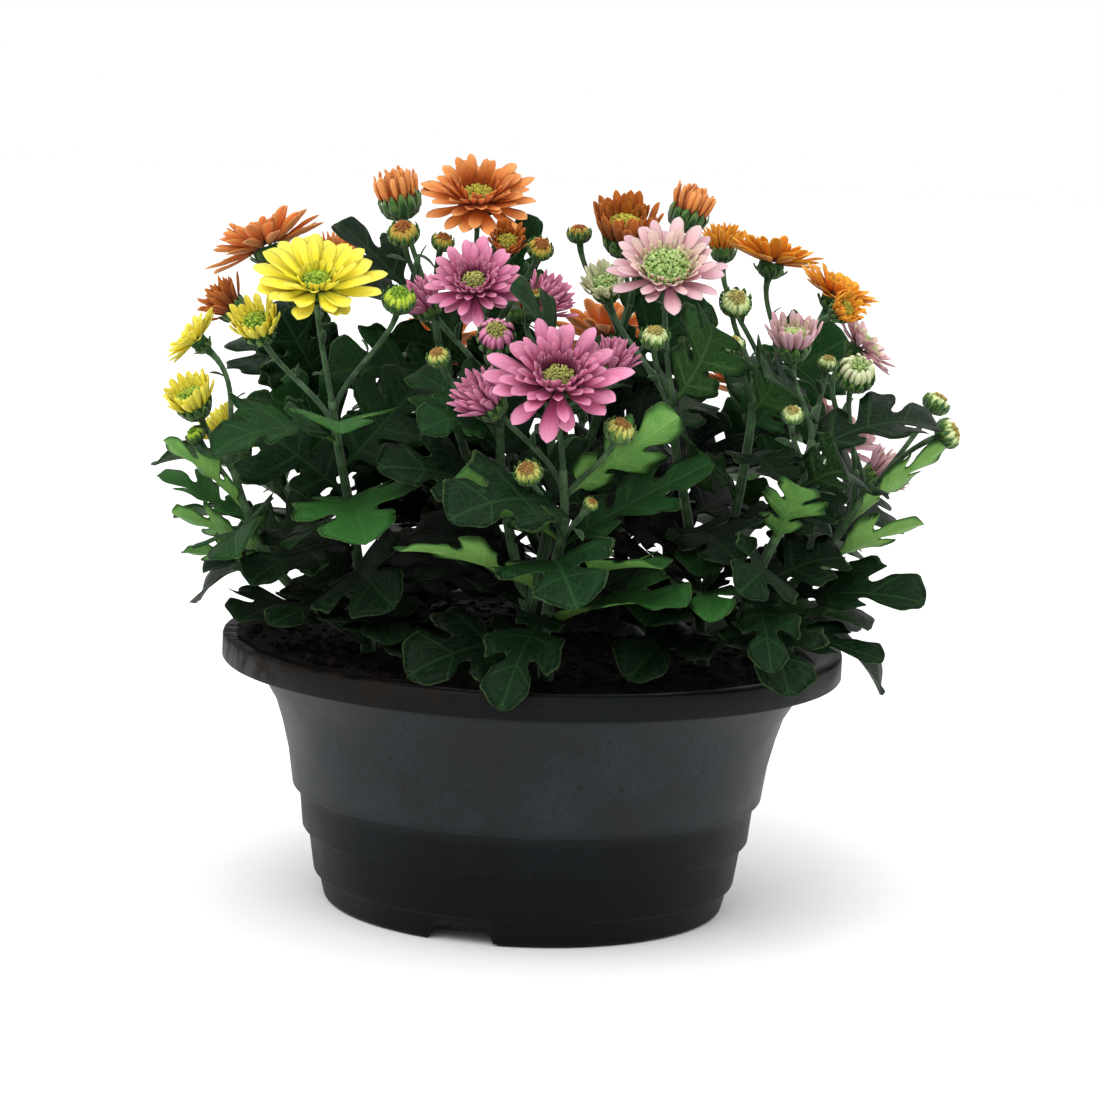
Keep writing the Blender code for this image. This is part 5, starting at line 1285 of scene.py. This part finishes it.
def leaf_material():
    """Chrysanthemum leaf: a dark waxy top with sunken veins and a thin paler edge, a paler underside.

    Side veins lie a quarter of the rib apart, so 13 mm on a leaf of 51 mm. The net between them is drawn
    about 2.3 mm wide, coarser than the real one of 1 mm, which is too fine to show, and the mottling about
    9 mm. Leaves deep in the bush are painted darker, as painted shade of the leaves around them.
    """
    material, tree, shader = new_material("leaf_waxy_top_downy_underside", 0.45, Specular_IOR_Level=0.07)
    marks = ("share", "across", "under", "tone", "layer", "depth")
    share, across, below, tone, edge, depth = (
        add(tree, "Attribute", out=2, attribute_name=key) for key in marks
    )
    reach = add(tree, "Math", {0: across}, operation="ABSOLUTE")
    rib = add(tree, "MapRange", {0: reach, 1: 0.0, 2: 0.05, 3: 1.0, 4: 0.0})
    phase = add(tree, "Math", {0: share, 1: VEIN_START}, operation="SUBTRACT")
    turn = add(tree, "Math", {0: phase, 1: math.tau / VEIN_STEP}, operation="MULTIPLY")
    wave = add(tree, "Math", {0: turn}, operation="COSINE")
    side = add(tree, "MapRange", {0: wave, 1: 0.97, 2: 1.0, 3: 0.0, 4: 1.0})
    fade = add(tree, "MapRange", {0: reach, 1: 0.0, 2: 0.9, 3: 1.0, 4: 0.2})
    side = add(tree, "Math", {0: side, 1: fade}, operation="MULTIPLY")
    u = add(tree, "Math", {0: across, 1: LEAF_HALF_WIDTH / NET_STEP}, operation="MULTIPLY")
    v = add(tree, "Math", {0: share, 1: LEAF_LONG / NET_STEP}, operation="MULTIPLY")
    w = add(tree, "Math", {0: tone, 1: 90.0}, operation="MULTIPLY")
    place = add(tree, "CombineXYZ", {0: u, 1: v, 2: w})
    net = add(tree, "TexVoronoi", {"Vector": place, "Scale": 1.3}, feature="DISTANCE_TO_EDGE")
    net = add(tree, "MapRange", {0: net, 1: 0.0, 2: 0.10, 3: 0.55, 4: 0.0})
    veins = add(tree, "Math", {0: rib, 1: side}, operation="MAXIMUM")
    veins = add(tree, "Math", {0: veins, 1: net}, operation="MAXIMUM")
    room = add(tree, "TexCoord", out=3)
    mottle = add(tree, "TexNoise", {"Vector": room, "Scale": per_metre(9.09), "Detail": 5.0,
                                    "Roughness": 0.6})
    spread = add(tree, "Math", {0: mottle, 1: 0.35}, operation="MULTIPLY")
    value = add(tree, "Math", {0: tone, 1: 0.75, 2: spread}, operation="MULTIPLY_ADD")
    top = add(tree, "ValToRGB", {0: value}, stops=((0.15, "#07160a"), (0.5, "#0d2411"), (0.72, "#163a16"),
                                                   (0.9, "#2a5824")))
    faint = add(tree, "Math", {0: veins, 1: 0.16}, operation="MULTIPLY")
    top = add(tree, "Mix", {0: faint, 6: top, 7: linear("#4f7f45")}, 2, data_type="RGBA")
    low = add(tree, "ValToRGB", {0: value}, stops=((0.2, "#1e381c"), (0.6, "#355a2c"), (0.78, "#5c8c42"),
                                                   (0.95, "#80aa58")))
    clear = add(tree, "Math", {0: veins, 1: 0.2}, operation="MULTIPLY")
    low = add(tree, "Mix", {0: clear, 6: low, 7: linear("#86a866")}, 2, data_type="RGBA")
    colour = add(tree, "Mix", {0: below, 6: top, 7: low}, 2, data_type="RGBA")
    rim = add(tree, "MapRange", {0: edge, 1: 0.93, 2: 1.0, 3: 0.0, 4: 0.3})
    colour = add(tree, "Mix", {0: rim, 6: colour, 7: linear("#86a86a")}, 2, data_type="RGBA")
    # Painted shade: leaves deep in the bush are multiplied darker by their depth.
    shade = add(tree, "MapRange", {0: depth, 1: 0.55, 2: 1.0, 3: 0.06, 4: 1.0})
    shade = add(tree, "CombineColor", {0: shade, 1: shade, 2: shade})
    colour = add(tree, "Mix", {0: 1.0, 6: colour, 7: shade}, 2, data_type="RGBA", blend_type="MULTIPLY")
    tree.links.new(colour, shader.inputs["Base Color"])
    flip = add(tree, "Math", {0: below, 1: 2.0, 2: -1.0}, operation="MULTIPLY_ADD")
    relief = add(tree, "Math", {0: veins, 1: flip, 2: mottle}, operation="MULTIPLY_ADD")
    normal = add(tree, "Bump", {"Height": relief, "Distance": 0.4 * MM, "Strength": 0.7})
    tree.links.new(normal, shader.inputs["Normal"])
    return material


def green_material(name, stops, rim, mottling):
    """Soft green skin with fine pale down: ribbed stems, and cup scales with a thin papery edge.

    The mottling is this many millimetres wide, and the down gives a light sheen at the outline.
    """
    material, tree, shader = new_material(name, 0.65, Sheen_Weight=0.15, Sheen_Roughness=0.4,
                                          Specular_IOR_Level=0.15)
    across, share = (add(tree, "Attribute", out=2, attribute_name=key) for key in ("across", "share"))
    room = add(tree, "TexCoord", out=3)
    mottle = add(tree, "TexNoise", {"Vector": room, "Scale": per_metre(mottling), "Detail": 4.0})
    value = add(tree, "Math", {0: share, 1: 0.25, 2: mottle}, operation="MULTIPLY_ADD")
    colour = add(tree, "ValToRGB", {0: value}, stops=stops)
    edge = add(tree, "Math", {0: across}, operation="ABSOLUTE")
    edge = add(tree, "MapRange", {0: edge, 1: 0.5, 2: 1.0, 3: 0.0, 4: 0.4})
    colour = add(tree, "Mix", {0: edge, 6: colour, 7: linear(rim)}, 2, data_type="RGBA")
    tree.links.new(colour, shader.inputs["Base Color"])
    normal = add(tree, "Bump", {"Height": mottle, "Distance": 0.3 * MM, "Strength": 0.5})
    tree.links.new(normal, shader.inputs["Normal"])
    return material


def floret_material(name, low, middle, tip):
    """Disc florets: small moist tubes, a little glossy, lighter at the rim and with painted shade inside."""
    material, tree, shader = new_material(name, 0.5, Subsurface_Weight=0.1, Subsurface_Scale=0.001,
                                          Specular_IOR_Level=0.35)
    share, tone = (add(tree, "Attribute", out=2, attribute_name=key) for key in ("share", "tone"))
    colour = add(tree, "ValToRGB", {0: share}, stops=((0.0, low), (0.5, middle), (1.0, tip)))
    shade = add(tree, "ValToRGB", {0: tone}, stops=((0.0, "#b8b8b8"), (1.0, "#ffffff")))
    colour = add(tree, "Mix", {0: 1.0, 6: colour, 7: shade}, 2, data_type="RGBA", blend_type="MULTIPLY")
    tree.links.new(colour, shader.inputs["Base Color"])
    return material


def pot_material():
    """Thermoformed polypropylene: dark slate, satin, faintly cloudy, with specks and smears of soil.

    The clouds are about 36 mm wide. The specks are 1 to 2 mm wide, at most one in each cell of 4.8 mm. The
    grain of the skin is drawn 1.1 mm wide, because the real one of 0.2 mm is too fine to show. Below the
    middle the wall is painted darker in steps, and the top of the rim is painted darker too: painted shade.
    There and on the rim it is duller. Soil is smeared on the rim, more of it on the left.
    """
    material, tree, shader = new_material("polypropylene_dark_slate", 0.5)
    room = add(tree, "TexCoord", out=3)
    clouds = add(tree, "TexNoise", {"Vector": room, "Scale": per_metre(35.7), "Detail": 6.0,
                                    "Roughness": 0.65})
    colour = add(tree, "ValToRGB", {0: clouds}, stops=((0.32, "#050a0c"), (0.5, "#0d1619"),
                                                       (0.68, "#1a262a")))
    x = add(tree, "SeparateXYZ", {0: room}, 0)
    z = add(tree, "SeparateXYZ", {0: room}, 2)
    # Painted shade: darker in steps below the middle of the wall, and over the top of the rim.
    low = add(tree, "MapRange", {0: z, 1: 0.0, 2: 100.0 * MM, 3: 0.0, 4: 1.0})
    low = add(tree, "ValToRGB", {0: low}, stops=((0.0, "#666666"), (0.268, "#767676"), (0.274, "#969696"),
                                                 (0.41, "#a8a8a8"), (0.424, "#eeeeee"), (0.86, "#ffffff"),
                                                 (0.9, "#8a8a8a")))
    colour = add(tree, "Mix", {0: 1.0, 6: colour, 7: low}, 2, data_type="RGBA", blend_type="MULTIPLY")
    shine = add(tree, "MapRange", {0: z, 1: 38.0 * MM, 2: 46.0 * MM, 3: 0.12, 4: 0.27})
    rim = add(tree, "MapRange", {0: z, 1: 86.0 * MM, 2: 90.0 * MM, 3: 1.0, 4: 0.45})
    shine = add(tree, "Math", {0: shine, 1: rim}, operation="MULTIPLY")
    tree.links.new(shine, shader.inputs["Specular IOR Level"])
    fine = add(tree, "TexNoise", {"Vector": room, "Scale": per_metre(1.111), "Detail": 2.0})
    grain = add(tree, "ValToRGB", {0: fine}, stops=((0.35, "#c4c4c4"), (0.65, "#ffffff")))
    colour = add(tree, "Mix", {0: 1.0, 6: colour, 7: grain}, 2, data_type="RGBA", blend_type="MULTIPLY")
    cell = add(tree, "TexVoronoi", {"Vector": room, "Scale": per_metre(4.76)})
    pick = add(tree, "TexVoronoi", {"Vector": room, "Scale": per_metre(4.76)}, 1)
    pick = add(tree, "SeparateColor", {0: pick})
    pick = add(tree, "Math", {0: pick, 1: 0.8}, operation="GREATER_THAN")
    size = add(tree, "Math", {0: fine, 1: 0.12, 2: cell}, operation="MULTIPLY_ADD")
    speck = add(tree, "MapRange", {0: size, 1: 0.25, 2: 0.28, 3: 1.0, 4: 0.0})
    speck = add(tree, "Math", {0: speck, 1: pick}, operation="MULTIPLY")
    colour = add(tree, "Mix", {0: speck, 6: colour, 7: linear("#040302")}, 2, data_type="RGBA")
    high = add(tree, "MapRange", {0: z, 1: 88.0 * MM, 2: 96.0 * MM, 3: 0.0, 4: 1.0})
    left = add(tree, "MapRange", {0: x, 1: 30.0 * MM, 2: -50.0 * MM, 3: 0.15, 4: 1.0})
    smear = add(tree, "TexNoise", {"Vector": room, "Scale": per_metre(8.33), "Detail": 8.0, "Roughness": 0.7})
    smear = add(tree, "MapRange", {0: smear, 1: 0.46, 2: 0.6, 3: 0.0, 4: 0.85})
    dirt = add(tree, "Math", {0: high, 1: left}, operation="MULTIPLY")
    dirt = add(tree, "Math", {0: dirt, 1: smear}, operation="MULTIPLY")
    colour = add(tree, "Mix", {0: dirt, 6: colour, 7: linear("#1a120c")}, 2, data_type="RGBA")
    tree.links.new(colour, shader.inputs["Base Color"])
    satin = add(tree, "MapRange", {0: clouds, 1: 0.3, 2: 0.7, 3: 0.42, 4: 0.6})
    matt = add(tree, "Math", {0: dirt, 1: 0.4, 2: satin}, operation="MULTIPLY_ADD")
    tree.links.new(matt, shader.inputs["Roughness"])
    normal = add(tree, "Bump", {"Height": fine, "Distance": 0.1 * MM, "Strength": 0.5})
    tree.links.new(normal, shader.inputs["Normal"])
    return material


def soil_material():
    """Moist peat compost: near black and rough, with crumbs 2 to 3 mm wide and browner fibres."""
    material, tree, shader = new_material("peat_compost", 0.95, Specular_IOR_Level=0.15)
    room = add(tree, "TexCoord", out=3)
    grain = add(tree, "TexNoise", {"Vector": room, "Scale": per_metre(2.38), "Detail": 8.0, "Roughness": 0.7})
    colour = add(tree, "ValToRGB", {0: grain}, stops=((0.3, "#050403"), (0.55, "#110b08"), (0.8, "#2c1e15")))
    tree.links.new(colour, shader.inputs["Base Color"])
    normal = add(tree, "Bump", {"Height": grain, "Distance": 1.2 * MM})
    tree.links.new(normal, shader.inputs["Normal"])
    return material


# Petal colours at the root, the middle and the tip of an outer petal and of an inner one, then those of the
# back and of the nerves.
PETAL_COLOURS = {
    "pink": (("#8c2a54", "#c65c8a", "#eaa0be"), ("#661c38", "#9a4066", "#de90ae"), "#d486a8", "#ac4478"),
    "bronze": (("#b04410", "#e88434", "#f6ae6c"), ("#7a2810", "#b85018", "#ea9248"), "#ec9c58", "#c4541c"),
    "rust": (("#6e2a0a", "#a85318", "#cc7c34"), ("#602008", "#98440e", "#d08024"), "#b86430", "#84340e"),
    "amber": (("#c2540e", "#ec931d", "#f8b73a"), ("#933a0c", "#cc6a14", "#f0a428"), "#e78a22", "#d0660f"),
    "yellow": (("#e0e02c", "#fbea3c", "#fff268"), ("#b8d028", "#f2e238", "#fbf05c"), "#f6ea58", "#f0e030"),
    "pale": (("#b8708a", "#dca4b0", "#e8c4ca"), ("#a8cc5c", "#d8d090", "#f2ecc0"), "#d8a8b6", "#c8849c"),
    "cream": (("#a9c46c", "#dde2ac", "#f1efd2"), ("#7fb84a", "#bcd684", "#eeeec0"), "#d6dca8", "#c3cf8c"),
}
# Floret colours at the foot, the middle and the rim.
FLORET_COLOURS = {
    "pink": ("#5a3a28", "#9aa82a", "#e4e08c"), "bronze": ("#6a3a12", "#a8a420", "#e6dc50"),
    "rust": ("#6a3a12", "#a8a420", "#e6dc50"),
    "amber": ("#7a5a0c", "#b0a820", "#ecd848"), "yellow": ("#3f8a18", "#82bc2a", "#d0e44a"),
    "pale": ("#5e9c30", "#a2cf5c", "#e4f0b0"), "cream": ("#5e9c30", "#98c858", "#e2eeb4"),
}
# Colours of the folded petals of closed buds, outer and inner, at the root, the middle and the tip.
BUD_COLOURS = {
    "bronze": (("#5c8030", "#b8a848", "#c08038"), ("#7c8c30", "#b08c38", "#b4642c")),
    "yellow": (("#6ca02c", "#c6dc48", "#b4d43c"), ("#6ca02c", "#b4d03c", "#84b82c")),
    "pink": (("#64903c", "#bcc468", "#c8ac60"), ("#809840", "#b8a450", "#b4803c")),
    "pale": (("#74a048", "#d4e0a0", "#d4dc98"), ("#78a048", "#c0d488", "#c4ac58")),
}
SLOTS = {"bronze": "petal_bronze", "amber": "petal_amber", "rust": "petal_bronze", "yellow": "petal_yellow",
         "pink": "petal_pink", "pale": "petal_pale_pink", "cream": "petal_cream"}


def build_heads():
    """Petals and florets of every head that has nodes of its own."""
    petals = {key: petal_material("ray_petals_" + key, *row) for key, row in PETAL_COLOURS.items()}
    centres = {key: floret_material("disc_florets_" + key, *row) for key, row in FLORET_COLOURS.items()}
    for name, row in HEADS.items():
        kind, colour = row[0], head_colour(name)
        if kind == "closed":
            continue
        slot = "eye_lime" if colour in ("pale", "cream") else "eye_green"
        centre = centres[colour]
        if kind in ("open", "back"):
            bloom = "bloom_" + name
            make("petals_" + name, head_petals(name), petals[colour], SLOTS[colour], [bloom + "_petals"])
            make("florets_" + name, head_eye(name), centre, slot, [bloom + "_eye"])
            continue
        node = [("head_" if kind == "half" else "bud_") + name]
        make("petals_" + name, head_petals(name), petals[colour], SLOTS[colour], node)
        middle = head_eye(name)
        if middle:
            make("florets_" + name, middle, centre, SLOTS[colour], node)


def build_plants():
    """Stems, leaves, green cups and closed buds of the four plants."""
    leaf = leaf_material()
    stem = green_material("green_stem_with_down", ((0.3, "#14281a"), (0.6, "#284226"), (0.95, "#4e6c46")),
                          "#587450", 3.85)
    cup = green_material("green_cup_scales", ((0.25, "#16301a"), (0.6, "#2c5228"), (0.9, "#64883e")),
                         "#84a05c", 2.5)
    leaves = plant_leaves()
    for number, plant in enumerate(FEET):
        node = ["plant_" + plant]
        rng = np.random.default_rng(SEED + PLANT_SEED + number)
        heads = [name for name, row in HEADS.items() if SHOOTS[row[1]][0] == plant]
        closed = [name for name in heads if HEADS[name][0] == "closed"]
        outer, inner = BUD_COLOURS[plant]
        bud = petal_material("folded_bud_petals_" + plant, outer, inner, outer[1], outer[0])
        middle = floret_material("bud_middle_" + plant, inner[1], inner[2], inner[2])
        make("leaves_" + plant, leaf_blades(rng, leaves[plant]), leaf, "leaf_green", node)
        make("stems_" + plant, join((plant_stems(plant), stalk_bracts(rng, plant))), stem, "leaf_green", node)
        make("cups_" + plant, join([head_cup(name) for name in heads]), cup, "leaf_green", node)
        make("buds_" + plant, join([head_petals(name) for name in closed]), bud, SLOTS[plant], node)
        make("bud_middles_" + plant, join([head_eye(name) for name in closed]), middle, SLOTS[plant], node)


def cut(piece, cutter):
    """Boolean difference, applied to the piece, with the cutter then removed."""
    step = piece.modifiers.new("cut", "BOOLEAN")
    step.operation = "DIFFERENCE"
    step.object = cutter
    graph = bpy.context.evaluated_depsgraph_get()
    result = bpy.data.meshes.new_from_object(piece.evaluated_get(graph))
    piece.modifiers.clear()
    piece.data = result
    bpy.data.objects.remove(cutter, do_unlink=True)


def build_pot():
    """Pot with its drain holes, soil, and crumbs strewn over the soil."""
    plastic, peat = pot_material(), soil_material()
    pot = make("pot_bowl", pot_shape(), plastic, "pot_plastic", ["pot"])
    cut(pot, make("drain_rods", drain_cutter(), plastic, None, ()))
    make("soil_top", soil_shape(), peat, "soil", ["soil"])
    rng = np.random.default_rng(SEED + SOIL_SEED)
    turn = rng.random(CRUMB_COUNT) * math.tau
    over = spill(turn)
    reach = np.sqrt(rng.random(CRUMB_COUNT)) * (CRUMB_REACH + CRUMB_REACH_OUT * over)
    x, y = reach * np.cos(turn), reach * np.sin(turn)
    places = np.stack((x, y, SOIL_LEVEL + 0.9 + heap(reach, over) + rough(x, y) * 0.5), axis=1)
    sizes = rng.uniform(*CRUMB_SIZES, CRUMB_COUNT)
    make("soil_crumbs", lumps(rng, places, sizes), peat, "soil", ["soil"])


# Light and view: the way, spread in degrees and strength of each lamp, and the camera's place in millimetres.
# The lens has a focal length of 3545 pixels of the photograph, which is 1100 pixels wide.
WORLD_STRENGTH = 1.0
LAMPS = (
    ("key_lamp", (0.35, 0.75, -1.0), 50.0, 1.6),
    ("top_lamp", (-0.3, -0.2, -1.0), 70.0, 0.7),
)
CAMERA_PLACE = (0.0, -1300.0, 327.0)
CAMERA_AIM = (5.0, 0.0, 132.2)
CAMERA_ROLL = math.radians(2.4)
SENSOR_WIDTH = 36.0
CAMERA_LENS = SENSOR_WIDTH * 3545.0 / 1100.0
FLOOR_RADIUS = 6000.0
FLOOR_THICK = 1.0
FLOOR_GAP = 0.2


def build_floor_and_light():
    """Pale floor just under the pot, an even white room and two soft lamps from above."""
    floor_material, _, shader = new_material("matt_white_floor", 1.0, Specular_IOR_Level=0.0)
    shader.inputs["Base Color"].default_value = linear("#f6f6f6")
    disc = turned(((0.0, -FLOOR_THICK), (FLOOR_RADIUS, -FLOOR_THICK), (FLOOR_RADIUS, 0.0), (0.0, 0.0)), 96)
    disc.points[:, 2] -= FLOOR_GAP
    make("floor", disc, floor_material, None, ())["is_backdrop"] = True
    world = bpy.data.worlds.new("white_room")
    bpy.context.scene.world = world
    world.use_nodes = True
    world.node_tree.nodes["Background"].inputs["Color"].default_value = linear("#ffffff")
    world.node_tree.nodes["Background"].inputs["Strength"].default_value = WORLD_STRENGTH
    for name, way, spread, power in LAMPS:
        data = bpy.data.lights.new(name, "SUN")
        data.angle = math.radians(spread)
        data.energy = power
        lamp = bpy.data.objects.new(name, data)
        bpy.context.scene.collection.objects.link(lamp)
        lamp.rotation_euler = Vector(way).to_track_quat("-Z", "Y").to_euler()


def build_camera():
    """Camera at the photograph's angle: it looks along the line to its aim, rolled a little round it."""
    data = bpy.data.cameras.new("camera")
    data.lens = CAMERA_LENS
    data.sensor_width = SENSOR_WIDTH
    data.clip_end = 50.0
    camera = bpy.data.objects.new("camera", data)
    bpy.context.scene.collection.objects.link(camera)
    ahead = unit(np.array(CAMERA_AIM) - CAMERA_PLACE)
    right = unit(np.cross(ahead, (0.0, 0.0, 1.0)))
    upward = np.cross(right, ahead)
    c, s = math.cos(CAMERA_ROLL), math.sin(CAMERA_ROLL)
    matrix = np.eye(4)
    matrix[:3, :3] = np.stack((c * right + s * upward, c * upward - s * right, -ahead), axis=1)
    matrix[:3, 3] = np.array(CAMERA_PLACE) * MM
    camera.matrix_world = Matrix(matrix.tolist())
    bpy.context.scene.camera = camera
    bpy.context.scene.view_settings.view_transform = "Standard"


build_heads()
build_plants()
build_pot()
build_floor_and_light()
build_camera()

boxes = {"cad": CAD_BOX, "visual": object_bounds()}
{key: [list(corner) for corner in box] for key, box in boxes.items()}
